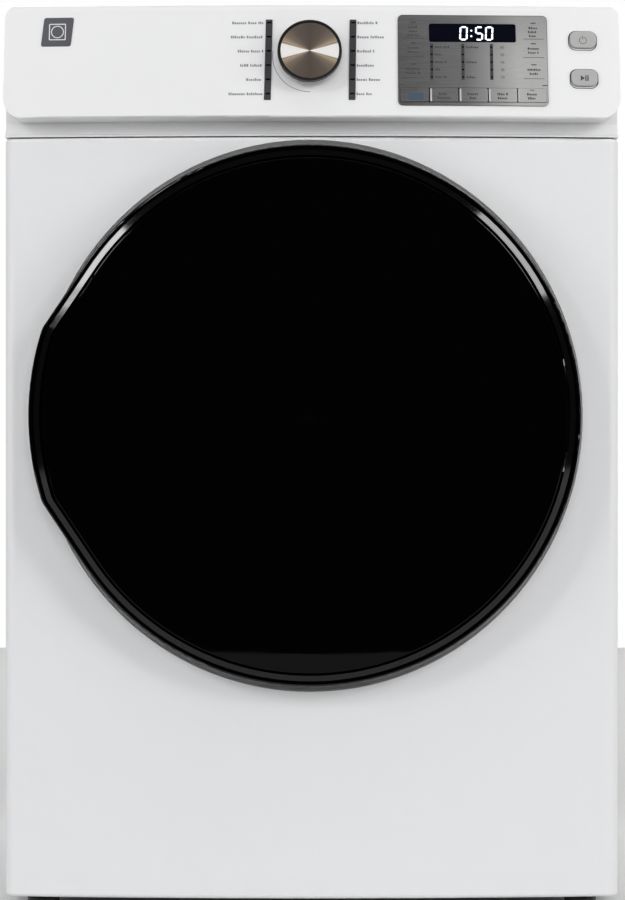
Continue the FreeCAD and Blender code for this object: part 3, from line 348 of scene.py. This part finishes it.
def circuit_green():
    """Solder mask with copper tracks under it and pale legends."""
    look = Look("circuit_green", Coat_Weight=0.5, Coat_Roughness=0.2)
    flat = look.stretched(1.0, 0.0, 1.0)
    tracks = look.put("TexBrick", {"Vector": flat, "Scale": 150.0, "Mortar Size": 0.03}).outputs["Fac"]
    blobs = look.cells(260.0, "Distance")
    green = look.mix(look.noise(60.0), (0.012, 0.085, 0.03), (0.02, 0.13, 0.045))
    copper = look.mix(look.calc("MULTIPLY", tracks, 0.7), green, (0.05, 0.22, 0.07))
    look.use(Base_Color=look.mix(look.between(blobs, 0.8, 0.0, 0.02, 0.1), copper, (0.55, 0.53, 0.45)))
    look.use(Roughness=look.between(blobs, 0.3, 0.5))
    return look.bump((tracks, 0.00005))


def felt():
    look = Look("felt", Sheen_Weight=0.6, Sheen_Roughness=0.5)
    fibres = look.noise(900.0, 5.0, 0.8, look.stretched(1.0, 2.5, 1.0))
    clumps = look.noise(120.0, 3.0)
    tone = look.mix(clumps, (0.36, 0.34, 0.30), (0.50, 0.48, 0.44))
    look.use(Base_Color=look.mix(look.between(fibres, 0.0, 0.6, 0.35, 0.7), tone, (0.24, 0.23, 0.21)))
    look.use(Roughness=look.between(fibres, 0.85, 1.0))
    return look.bump((fibres, 0.0004), (clumps, 0.0005))


def rubber():
    look = Look("rubber")
    bloom = look.noise(40.0, 3.0)
    grain = look.noise(1500.0, 4.0, 0.7)
    look.use(Base_Color=look.mix(bloom, (0.014, 0.014, 0.015), (0.035, 0.035, 0.036)))
    look.use(Roughness=look.between(grain, 0.62, 0.85))
    return look.bump((grain, 0.00006))


def turned_steel(name, color, roughness):
    """Machined or plated steel: fine tool marks and slight staining."""
    look = Look(name, Metallic=1.0)
    marks = look.noise(300.0, 5.0, 0.75, look.stretched(1.0, 1.0, 14.0))
    stain = look.noise(45.0, 3.0)
    look.use(Base_Color=look.mix(look.between(stain, 0.0, 0.6, 0.4, 0.75), color, shade(color, 0.62)))
    look.use(Roughness=look.between(marks, roughness - 0.06, roughness + 0.14, 0.3, 0.7))
    return look.bump((marks, 0.00003))


def motor_steel():
    """Dark cast end bells: coarse casting skin under thin paint."""
    look = Look("motor_steel", Metallic=0.35)
    skin = look.noise(380.0, 4.0, 0.65)
    rub = look.noise(70.0, 3.0)
    tone = look.mix(look.between(rub, 0.0, 1.0, 0.45, 0.75), (0.035, 0.036, 0.04), (0.11, 0.11, 0.115))
    look.use(Base_Color=tone, Roughness=look.between(skin, 0.45, 0.7, 0.3, 0.7))
    return look.bump((skin, 0.0002))


def glowing_digits():
    """Lit segments behind the smoked lens."""
    look = Look("lit_segments", Emission_Strength=1.25)
    grain = look.noise(1800.0, 2.0)
    look.use(Base_Color=look.mix(grain, (0.75, 0.78, 0.85), (0.85, 0.87, 0.92)))
    look.use(Emission_Color=look.mix(grain, (0.86, 0.89, 1.0), (1.0, 1.0, 1.0)))
    return look


LOOKS = {
    "white_enamel": white_enamel(),
    "white_plastic": white_plastic(),
    "zinc_steel": zinc_steel(),
    "drum_steel": drum_steel(),
    "black_gloss": gloss_black("black_gloss", 0.05, 0.08, 0.4),
    "dark_glass": gloss_black("dark_glass", 0.018, 0.05, 0.13),
    "clear_glass": clear_glass(),
    "grey_plastic": plain("grey_plastic", (0.16, 0.165, 0.17), 0.5, 1400.0, 0.00006),
    "light_plastic": plain("light_plastic", (0.41, 0.41, 0.405), 0.42, 1900.0, 0.00002, 0.03),
    "black_plastic": plain("black_plastic", (0.012, 0.012, 0.013), 0.32, 1700.0, 0.00002),
    "bronze_metal": bronze_cap_painted_highlights(),
    "brushed_silver": brushed_silver(),
    "indicator_grey": plain("indicator_grey", (0.048, 0.048, 0.052), 0.34, 1500.0, 0.00001),
    "display_black": display_black(),
    "circuit_green": circuit_green(),
    "felt": felt(),
    "rubber": rubber(),
    "motor_steel": motor_steel(),
    "axle_steel": turned_steel("axle_steel", (0.56, 0.56, 0.57), 0.3),
    "screw_steel": turned_steel("screw_steel", (0.55, 0.53, 0.46), 0.34),
}
PRINT_GREY = plain("print_grey", (0.055, 0.055, 0.06), 0.5, 2600.0, 0.000005)
PRINT_SOFT = plain("print_soft", (0.23, 0.23, 0.245), 0.5, 2600.0, 0.000005)
PRINT_LIGHT = plain("print_light", (0.74, 0.74, 0.75), 0.45, 2600.0, 0.000005, 0.02)
# Pale colour of the key ridges: a painted highlight.
RIDGE_PAINTED_HIGHLIGHT = plain("ridge_painted_highlight", (0.50, 0.50, 0.495), 0.45, 2600.0, 0.000005, 0.02)
PRINT_VIOLET = plain("print_violet", (0.13, 0.13, 0.30), 0.5, 2600.0, 0.000005)
PRINT_BLUE = plain("print_blue", (0.050, 0.084, 0.125), 0.5, 900.0, 0.000008, 0.12)
LED_BLACK = plain("led_black", (0.004, 0.004, 0.005), 0.2, 1200.0, 0.000004)
BADGE_GREY = plain("badge_grey", (0.095, 0.095, 0.112), 0.36, 1400.0, 0.00001, 0.04)
POLISHED = turned_steel("polished_trim", (0.66, 0.60, 0.58), 0.16)
LIT = glowing_digits()


def dress_frame():
    """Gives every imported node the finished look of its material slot."""
    for node in frame["nodes"].values():
        for index, old in enumerate(node.data.materials):
            node.data.materials[index] = LOOKS[old.name].material


# --- mesh helpers ------------------------------------------------------------------------------
def finish_mesh(name, shape, look, body, smooth_angle=35.0):
    bmesh.ops.recalc_face_normals(shape, faces=shape.faces)
    mesh = bpy.data.meshes.new(name)
    shape.to_mesh(mesh)
    shape.free()
    piece = bpy.data.objects.new(name, mesh)
    bpy.context.scene.collection.objects.link(piece)
    mesh.materials.append(look.material)
    for face in mesh.polygons:
        face.use_smooth = True
    mesh.set_sharp_from_angle(angle=math.radians(smooth_angle))
    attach(piece, body)
    return piece


def add_band(shape, first, second, at, low, high, closed=False):
    """A thin closed solid between two edge lines, each a list of (x, z) points."""
    rows = []
    for a, b in zip(first, second):
        corners = ((a, low), (b, low), (b, high), (a, high))
        rows.append([shape.verts.new(at(point[0], point[1], lift)) for point, lift in corners])
    following = rows[1:] + rows[:1] if closed else rows[1:]
    for here, there in zip(rows, following):
        for side in range(4):
            after = (side + 1) % 4
            shape.faces.new((here[side], here[after], there[after], there[side]))
    if not closed:
        shape.faces.new(rows[0])
        shape.faces.new(rows[-1])


def add_tile(shape, x, z, width, height, radius, at, low, high, lean=0.0, steps=5):
    """A rounded rectangle; lean shifts its top sideways, per metre of height."""
    bottom, top = [], []
    for side in (-1, 1):
        for step in range(steps):
            turn = math.radians(90 * step / (steps - 1))
            turn = turn if side < 0 else math.pi / 2 - turn
            u = side * (width / 2 - radius + radius * math.cos(turn))
            v = height / 2 - radius + radius * math.sin(turn)
            bottom.append((x + u - lean * v, z - v))
            top.append((x + u + lean * v, z + v))
    add_band(shape, bottom, top, at, low, high)


def add_ring(shape, x, z, outer, inner, at, low, high, start=0.0, stop=360.0, steps=64):
    """A flat ring, or the part of one between two angles from +X, in degrees."""
    closed = stop - start >= 360.0
    count = steps if closed else steps + 1
    lines = ([], [])
    for index in range(count):
        turn = math.radians(start + (stop - start) * index / steps)
        for line, radius in zip(lines, (outer, inner)):
            line.append((x + radius * math.cos(turn), z + radius * math.sin(turn)))
    add_band(shape, lines[0], lines[1], at, low, high, closed)


def add_frame(shape, x, z, width, height, radius, line, at, low, high, steps=6):
    """The outline of a rounded rectangle, line wide."""
    lines = ([], [])
    for quarter, (side, rise) in enumerate(((1, 1), (-1, 1), (-1, -1), (1, -1))):
        for step in range(steps):
            turn = math.radians(90 * quarter + 90 * step / (steps - 1))
            for index, reach in enumerate((radius, max(radius - line, 0.0))):
                u = side * (width / 2 - radius) + reach * math.cos(turn)
                v = rise * (height / 2 - radius) + reach * math.sin(turn)
                lines[index].append((x + u, z + v))
    add_band(shape, lines[0], lines[1], at, low, high, closed=True)


def add_words(shape, x, z, length, height, at, align, lift=0.12 * MM):
    """A stand-in for a printed label: rounded blocks set like letters, with no lettering."""
    gap = 0.22 * height
    left = x if align == "left" else x - length if align == "right" else x - length / 2
    cursor = left
    letters = 0
    word = rng.randint(4, 8)
    while cursor < left + length - 0.4 * height:
        width = height * rng.uniform(0.42, 0.72)
        tall = height * (1.0 if letters == 0 or rng.random() < 0.25 else 0.72)
        base = z - height / 2 + tall / 2
        add_tile(shape, cursor + width / 2, base, width, tall, 0.2 * width, at, -lift, lift, steps=3)
        cursor += width + gap
        letters += 1
        if letters >= word:
            cursor += 0.5 * height
            letters = 0
            word = rng.randint(4, 8)


# --- console details ---------------------------------------------------------------------------
PRINT = 0.10 * MM            # how far print stands off its surface
LABEL_HEIGHT = 3.0 * MM      # height of a cycle name's blocks
KNOB_RING = 5.4 * MM         # depth of the knob's front ring
CAP_SUNK = 1.0 * MM          # how far the cap lies behind the ring's front
KNOB_AXIS = Vector(JOINTS["knob_turn"]["axis"])
KEY_RISE = 2.2 * MM          # how far the option keys stand off the control face
BUTTON_RISE = 3.0 * MM       # and the two push buttons
STRIP_WIDE = 7.5 * MM        # each strip of cycle lamps beside the knob
STRIP_LEAN = math.tan(math.radians(1.0))
LAMP_PITCH = 16.3 * MM       # from one cycle lamp to the next
SETTING_PITCH = 8.6 * MM     # from one lamp of the display's settings to the next
SWEEP_RADIUS = 41.3 * MM     # outside of the line printed round the knob


def badge():
    """A leaning tile with a neutral drying symbol: a drum in a box."""
    x = cad_box[0].x + 59.4 * MM
    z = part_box("console_fascia")[1].z - 31.0 * MM
    lean = 0.1
    plate = bmesh.new()
    add_tile(plate, x, z, 33.4 * MM, 33.0 * MM, 2.6 * MM, on_face, -0.4 * MM, 0.7 * MM, lean, steps=7)
    piece = finish_mesh("badge_plate", plate, BADGE_GREY, "cabinet")
    bevel = piece.modifiers.new("edge", "BEVEL")
    bevel.width = 0.25 * MM
    bevel.segments = 2
    bevel.limit_method = "ANGLE"
    symbol = bmesh.new()
    add_frame(symbol, x, z, 19 * MM, 19 * MM, 1.2 * MM, 1.1 * MM, on_face, 0.5 * MM, 0.85 * MM)
    add_ring(symbol, x, z, 7.2 * MM, 6.2 * MM, on_face, 0.5 * MM, 0.85 * MM)
    finish_mesh("badge_symbol", symbol, PRINT_LIGHT, "cabinet")


def cycle_strip_details():
    """Six dark lamps on each leaning strip beside the knob, and a label beside each lamp."""
    low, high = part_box("cycle_indicators")
    rise = (high.z - low.z) / 2
    middle_z = (low.z + high.z) / 2
    strip_x = (high.x - low.x) / 2 - STRIP_LEAN * rise - STRIP_WIDE / 2
    lamps = bmesh.new()
    labels = bmesh.new()
    lengths = {-1: (36, 37, 29, 26, 19, 38), 1: (24, 29, 20, 19, 27, 17)}
    for side in (-1, 1):
        for index, length in enumerate(lengths[side]):
            z = middle_z + (2.5 - index) * LAMP_PITCH + 1.7 * MM
            x = (low.x + high.x) / 2 + side * strip_x + STRIP_LEAN * (z - middle_z)
            add_tile(lamps, x + 0.4 * MM, z, 5.0 * MM, 1.9 * MM, 0.5 * MM, on_face, 0.6 * MM, 0.95 * MM)
            edge = x + side * (STRIP_WIDE / 2 + 1.2 * MM)
            align = "right" if side < 0 else "left"
            add_words(labels, edge, z, length * MM, LABEL_HEIGHT, on_face, align, PRINT)
    finish_mesh("cycle_lamps", lamps, LED_BLACK, "cabinet")
    finish_mesh("cycle_labels", labels, PRINT_SOFT, "cabinet")


def on_knob(across, up, lift=0.0):
    """A point of the knob's own flat face, from its axis, lifted off the control face."""
    return KNOB + Vector((across, up * math.sin(TILT), up * math.cos(TILT))) + KNOB_AXIS * lift


def knob_details():
    """The printed sweep round the knob, the polished line behind its ring and the lip round its cap."""
    radius = size("selector_knob").x / 2
    reach = KNOB.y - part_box("selector_knob")[0].y
    front = (reach - radius * math.sin(TILT)) / math.cos(TILT)
    back = front - KNOB_RING
    cap_front = front - CAP_SUNK
    sweep = bmesh.new()
    inside = SWEEP_RADIUS - 0.5 * MM
    add_ring(sweep, KNOB.x, KNOB.z, SWEEP_RADIUS, inside, on_face, -PRINT, PRINT, 172, 271)
    finish_mesh("knob_sweep_line", sweep, PRINT_VIOLET, "cabinet")
    trim = bmesh.new()
    depths = (back - 0.5 * MM, back + 0.3 * MM)
    add_ring(trim, 0, 0, radius + 0.2 * MM, radius - 1.2 * MM, on_knob, *depths, steps=96)
    finish_mesh("knob_trim_ring", trim, POLISHED, "knob")
    lip = bmesh.new()
    outer = size("knob_cap").x / 2
    depths = (cap_front - 0.4 * MM, cap_front + 0.15 * MM)
    add_ring(lip, 0, 0, outer, outer - 0.8 * MM, on_knob, *depths, steps=96)
    finish_mesh("knob_cap_edge", lip, POLISHED, "knob")


def seven_segments(shape, text, x, z, height, at, low, high, pitch=0.695, stroke=0.11, lean=0.0):
    """Digits made of seven bars, centred on (x, z). A colon takes half a digit."""
    bars = {
        "0": "abcdef", "1": "bc", "2": "abged", "3": "abgcd", "4": "fgbc",
        "5": "afgcd", "6": "afgedc", "7": "abc", "8": "abcdefg", "9": "gfabcd"}
    width = 0.5 * height
    steps = [0.55 if mark == ":" else 1.0 for mark in text]
    cursor = x - pitch * height * sum(steps) / 2
    bar = stroke * height
    for mark, step in zip(text, steps):
        centre = cursor + pitch * height * step / 2
        cursor += pitch * height * step
        if mark == ":":
            for rise in (-0.2, 0.2):
                add_tile(shape, centre, z + rise * height, bar, bar, 0.3 * bar, at, low, high, lean)
            continue
        for name in bars[mark]:
            flat = name in "adg"
            rise = {"a": 0.5, "d": -0.5, "g": 0.0}.get(name, 0.25 if name in "bf" else -0.25)
            shift = 0.0 if flat else (0.5 if name in "bc" else -0.5)
            u = centre + shift * (width - bar / 2) + lean * rise * height
            v = z + rise * (height - bar)
            wide, tall = (width - 1.7 * bar, bar) if flat else (bar, 0.5 * height - 0.95 * bar)
            add_tile(shape, u, v, wide, tall, 0.3 * bar, at, low, high, lean)


def display_details():
    """Everything printed on the display plate and its lens. Offsets are from the plate's middle."""
    plate = middle("display_panel")
    lens = middle("display_window")

    def above_lens(x, z, lift=0.0):
        return on_face(x, z, lift + PLATE - LENS_SUNK)

    digits = bmesh.new()
    place = (lens.x + 4.4 * MM, lens.z - 0.4 * MM)
    seven_segments(digits, "0:50", *place, 16.1 * MM, above_lens, -0.1 * MM, 0.12 * MM, lean=0.04)
    finish_mesh("display_digits", digits, LIT, "cabinet")

    strips = bmesh.new()
    lamps = bmesh.new()
    words = bmesh.new()
    rows = 5
    label_lengths = ((17.5, 7.5, 13.5, 6.5, 13.0), (14.5, 1.0, 12.5, 1.0, 10.0), ())
    strip_z = plate.z - 2.0 * MM
    for offset, lengths in zip((-45.9, -11.2, 20.7), label_lengths):
        x = plate.x + offset * MM
        add_tile(strips, x, strip_z, 3.5 * MM, 41.3 * MM, 0.4 * MM, over_panel, -0.2 * MM, PRINT)
        for row in range(rows):
            z = strip_z - 0.3 * MM + (2 - row) * SETTING_PITCH
            add_tile(lamps, x, z, 2.8 * MM, 1.6 * MM, 0.3 * MM, over_panel, 0.0, 2 * PRINT)
            if lengths:
                add_words(words, x + 3.7 * MM, z, lengths[row] * MM, 2.5 * MM, over_panel, "left", PRINT)
            else:
                minutes = str(60 - 10 * row)
                place = (x + 12 * MM, z)
                seven_segments(words, minutes, *place, 3.0 * MM, over_panel, -PRINT, PRINT, 0.78, 0.15)

    dashes = bmesh.new()
    for offset in (-66.1, 67.7):
        x = plate.x + offset * MM
        for rise, lines, rule in ((43.1, 3, -18.4), (19.4, 2, -16.0), (-4.9, 2, -15.9)):
            z = plate.z + rise * MM
            add_tile(dashes, x, z, 5.8 * MM, 1.2 * MM, 0.4 * MM, over_panel, -PRINT, PRINT)
            add_tile(dashes, x, z + rule * MM, 23.5 * MM, 0.5 * MM, 0.2 * MM, over_panel, -PRINT, PRINT)
            for line in range(lines):
                length = rng.uniform(9.0, 17.0) * MM
                below = z - (5.6 + 4.6 * line) * MM
                add_words(words, x, below, length, 2.5 * MM, over_panel, "middle", PRINT)
    across = size("display_panel").x - 1.0 * MM
    rule_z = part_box("option_key_1")[1].z + 3.4 * MM
    add_tile(dashes, plate.x, rule_z, across, 1.1 * MM, 0.2 * MM, over_panel, -PRINT, PRINT, steps=3)
    finish_mesh("setting_strips", strips, LOOKS["indicator_grey"], "cabinet")
    finish_mesh("setting_lamps", lamps, LED_BLACK, "cabinet")
    finish_mesh("setting_labels", words, PRINT_GREY, "cabinet")
    finish_mesh("touch_dashes", dashes, PRINT_GREY, "cabinet")

    border = bmesh.new()
    wide = size("display_panel").x + 0.8 * MM
    tall = size("display_panel").z + 0.8 * MM
    add_frame(border, plate.x, plate.z, wide, tall, 5.4 * MM, 1.1 * MM, on_face, -0.2 * MM, 1.2 * MM)
    finish_mesh("display_surround", border, LOOKS["indicator_grey"], "cabinet")


def key_details():
    """Print on each option key, and a raised ridge on its left edge, its pale colour a painted highlight.
    """
    keys = [name for name in sorted(frame["nodes"]) if name.startswith("option_key")]

    def above_key(x, z, lift=0.0):
        return on_face(x, z, lift + KEY_RISE)

    for index, name in enumerate(keys):
        centre = middle(name)
        wide, tall = size(name).x, size(name).z
        words = bmesh.new()
        if index == 0:
            patch = bmesh.new()
            add_tile(patch, centre.x + 1.5 * MM, centre.z - 1.5 * MM, 17 * MM, 8.4 * MM, 1.5 * MM,
                     above_key, -PRINT, PRINT)
            finish_mesh(name + "_patch", patch, PRINT_BLUE, name)
        else:
            for rise in (1.4, -3.2):
                length = rng.uniform(8.0, 15.0) * MM
                line_z = centre.z + rise * MM
                add_words(words, centre.x, line_z, length, 2.8 * MM, above_key, "middle", PRINT)
            # A raised ridge whose pale colour is a painted highlight.
            painted_highlight_ridge = bmesh.new()
            x = centre.x - wide / 2 + 1.6 * MM
            high = tall - 2.4 * MM
            add_tile(painted_highlight_ridge, x, centre.z, 1.9 * MM, high, 0.6 * MM, above_key, -0.4 * MM, 0.35 * MM)
            finish_mesh(name + "_ridge", painted_highlight_ridge, RIDGE_PAINTED_HIGHLIGHT, name)
        if index in (0, len(keys) - 1):
            dash_z = centre.z + tall / 2 - 2.4 * MM
            add_tile(words, centre.x, dash_z, 5.2 * MM, 0.8 * MM, 0.3 * MM, above_key, -PRINT, PRINT)
        finish_mesh(name + "_print", words, PRINT_GREY, name)


def button_details():
    """Rims, halos and symbols of the two push buttons. Each rim is a dark line of painted shade in the
    gap round the button.
    """
    for name in ("power_button", "start_button"):
        centre = middle(name)
        wide, tall = size(name).x, size(name).z

        def above(x, z, lift=0.0):
            return on_face(x, z, lift + BUTTON_RISE)

        # Painted shade: a dark line where the gap round the button lies in shade.
        gap = bmesh.new()
        add_frame(gap, centre.x, centre.z, wide + 1.6 * MM, tall + 1.2 * MM, 8.2 * MM, 1.0 * MM,
                  on_face, -0.3 * MM, 0.12 * MM, steps=9)
        finish_mesh(name + "_gap_painted_shade", gap, PRINT_GREY, "cabinet")
        halo = bmesh.new()
        add_frame(halo, centre.x, centre.z, wide + 5.6 * MM, tall + 5.0 * MM, 10.0 * MM, 1.9 * MM,
                  on_face, -0.3 * MM, 0.45 * MM, steps=9)
        piece = finish_mesh(name + "_halo", halo, LOOKS["white_plastic"], "cabinet")
        bevel = piece.modifiers.new("soft edge", "BEVEL")
        bevel.width = 0.3 * MM
        bevel.segments = 3
        mark = bmesh.new()
        if name == "power_button":
            ring_z = centre.z - 0.4 * MM
            add_ring(mark, centre.x, ring_z, 4.2 * MM, 3.6 * MM, above, -PRINT, PRINT, 112, 428, steps=40)
            stem_z = centre.z + 2.8 * MM
            add_tile(mark, centre.x, stem_z, 0.7 * MM, 4.4 * MM, 0.3 * MM, above, -PRINT, PRINT)
        else:
            left, right = centre.x - 4.2 * MM, centre.x + 0.4 * MM
            low_line = [(left, centre.z - 3.2 * MM), (right, centre.z - 0.1 * MM)]
            high_line = [(left, centre.z + 3.2 * MM), (right, centre.z + 0.1 * MM)]
            add_band(mark, low_line, high_line, above, -PRINT, PRINT)
            for shift in (1.6, 3.9):
                x = centre.x + shift * MM
                add_tile(mark, x, centre.z, 1.4 * MM, 6.6 * MM, 0.3 * MM, above, -PRINT, PRINT)
        finish_mesh(name + "_symbol", mark, PRINT_GREY, name)


# --- room, lights and camera -------------------------------------------------------------------
SWEEP = 0.35                 # how fast the sheet's front edge curves away to the sides, per metre


def floor():
    """A plain pale sheet. Its front edge is near the machine's middle and curves away to the sides."""
    front, back, half = cad_box[0].y - 0.8, 3.2, 3.0
    shape = bmesh.new()
    count = 48
    edge = []
    for index in range(count + 1):
        x = half * (2 * index / count - 1)
        edge.append((x, front - SWEEP * x * x))
    corners = edge + [(half, back), (-half, back)]
    shape.faces.new([shape.verts.new((x, y, 0.0)) for x, y in corners])
    mesh = bpy.data.meshes.new("floor")
    shape.to_mesh(mesh)
    shape.free()
    sheet = bpy.data.objects.new("floor", mesh)
    bpy.context.scene.collection.objects.link(sheet)
    look = Look("floor")
    cloud = look.noise(2.0, 4.0)
    grain = look.noise(180.0, 3.0)
    look.use(Base_Color=look.mix(cloud, (0.78, 0.78, 0.78), (0.84, 0.84, 0.84)))
    look.use(Roughness=look.between(grain, 0.55, 0.7))
    look.bump((grain, 0.0001))
    mesh.materials.append(look.material)


def lamp(name, place, target, width, height, watts, mirrored=True):
    """A soft rectangular light that faces its target. One that isn't mirrored only lights surfaces."""
    data = bpy.data.lights.new(name, "AREA")
    data.shape = "RECTANGLE"
    data.size, data.size_y = width, height
    data.energy = watts
    light = bpy.data.objects.new(name, data)
    light.location = place
    light.visible_glossy = mirrored
    light.rotation_euler = (Vector(target) - Vector(place)).to_track_quat("-Z", "Y").to_euler()
    bpy.context.scene.collection.objects.link(light)


def lights():
    door = DOOR_AXIS
    upper = DOOR_AXIS + Vector((0.0, 0.0, 0.25))
    lamp("softbox_left", (-2.1, -2.3, 2.3), door, 0.5, 0.6, 18)
    lamp("softbox_right", (2.1, -2.3, 2.3), door, 0.7, 1.0, 26)
    lamp("fill_left", (-3.2, -1.9, 1.4), upper, 1.2, 1.8, 34, mirrored=False)
    lamp("fill_right", (3.2, -1.9, 1.4), upper, 1.2, 1.8, 34, mirrored=False)
    lamp("front_fill", (0.0, -4.2, 1.9), upper, 2.4, 2.0, 48, mirrored=False)
    lamp("top_light", (0.0, -0.9, 3.4), (0.0, 0.0, 0.9), 3.0, 1.6, 16)
    lamp("back_light", (0.0, 3.6, 2.4), (0.0, 0.2, 0.6), 2.6, 1.8, 60)


def world():
    """White where the camera looks past the machine, and a dim soft grey for everything else."""
    scene_world = bpy.data.worlds.new("studio")
    bpy.context.scene.world = scene_world
    scene_world.use_nodes = True
    tree = scene_world.node_tree
    seen = tree.nodes["Background"]
    seen.inputs["Color"].default_value = (1.0, 1.0, 1.0, 1.0)
    seen.inputs["Strength"].default_value = 1.0
    room = tree.nodes.new("ShaderNodeBackground")
    place = tree.nodes.new("ShaderNodeTexCoord")
    parts = tree.nodes.new("ShaderNodeSeparateXYZ")
    tree.links.new(place.outputs["Generated"], parts.inputs["Vector"])
    fade = tree.nodes.new("ShaderNodeMapRange")
    tree.links.new(parts.outputs["Y"], fade.inputs["Value"])
    for socket, value in (("From Min", -0.85), ("From Max", 0.1), ("To Min", 0.0), ("To Max", 1.0)):
        fade.inputs[socket].default_value = value
    tone = tree.nodes.new("ShaderNodeMix")
    tone.data_type = "RGBA"
    tree.links.new(fade.outputs["Result"], tone.inputs[0])
    tone.inputs[6].default_value = (0.002, 0.002, 0.0022, 1.0)
    tone.inputs[7].default_value = (0.24, 0.24, 0.245, 1.0)
    tree.links.new(tone.outputs[2], room.inputs["Color"])
    path = tree.nodes.new("ShaderNodeLightPath")
    choose = tree.nodes.new("ShaderNodeMixShader")
    tree.links.new(path.outputs["Is Camera Ray"], choose.inputs["Fac"])
    tree.links.new(room.outputs["Background"], choose.inputs[1])
    tree.links.new(seen.outputs["Background"], choose.inputs[2])
    tree.links.new(choose.outputs["Shader"], tree.nodes["World Output"].inputs["Surface"])


def camera():
    """Straight in front, level with the middle of the machine. The frame is 1 m high at the panel."""
    distance = 2.6
    data = bpy.data.cameras.new("camera")
    data.sensor_width = 36.0
    data.lens = data.sensor_width * distance / 1.0
    view = bpy.data.objects.new("camera", data)
    view.location = (0.0008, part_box("front_panel")[0].y - distance, 0.519)
    view.rotation_euler = (math.pi / 2, 0.0, 0.0)
    bpy.context.scene.collection.objects.link(view)
    bpy.context.scene.camera = view
    bpy.context.scene.view_settings.view_transform = "Standard"


camera()
world()
lights()
floor()
dress_frame()
badge()
cycle_strip_details()
knob_details()
display_details()
key_details()
button_details()
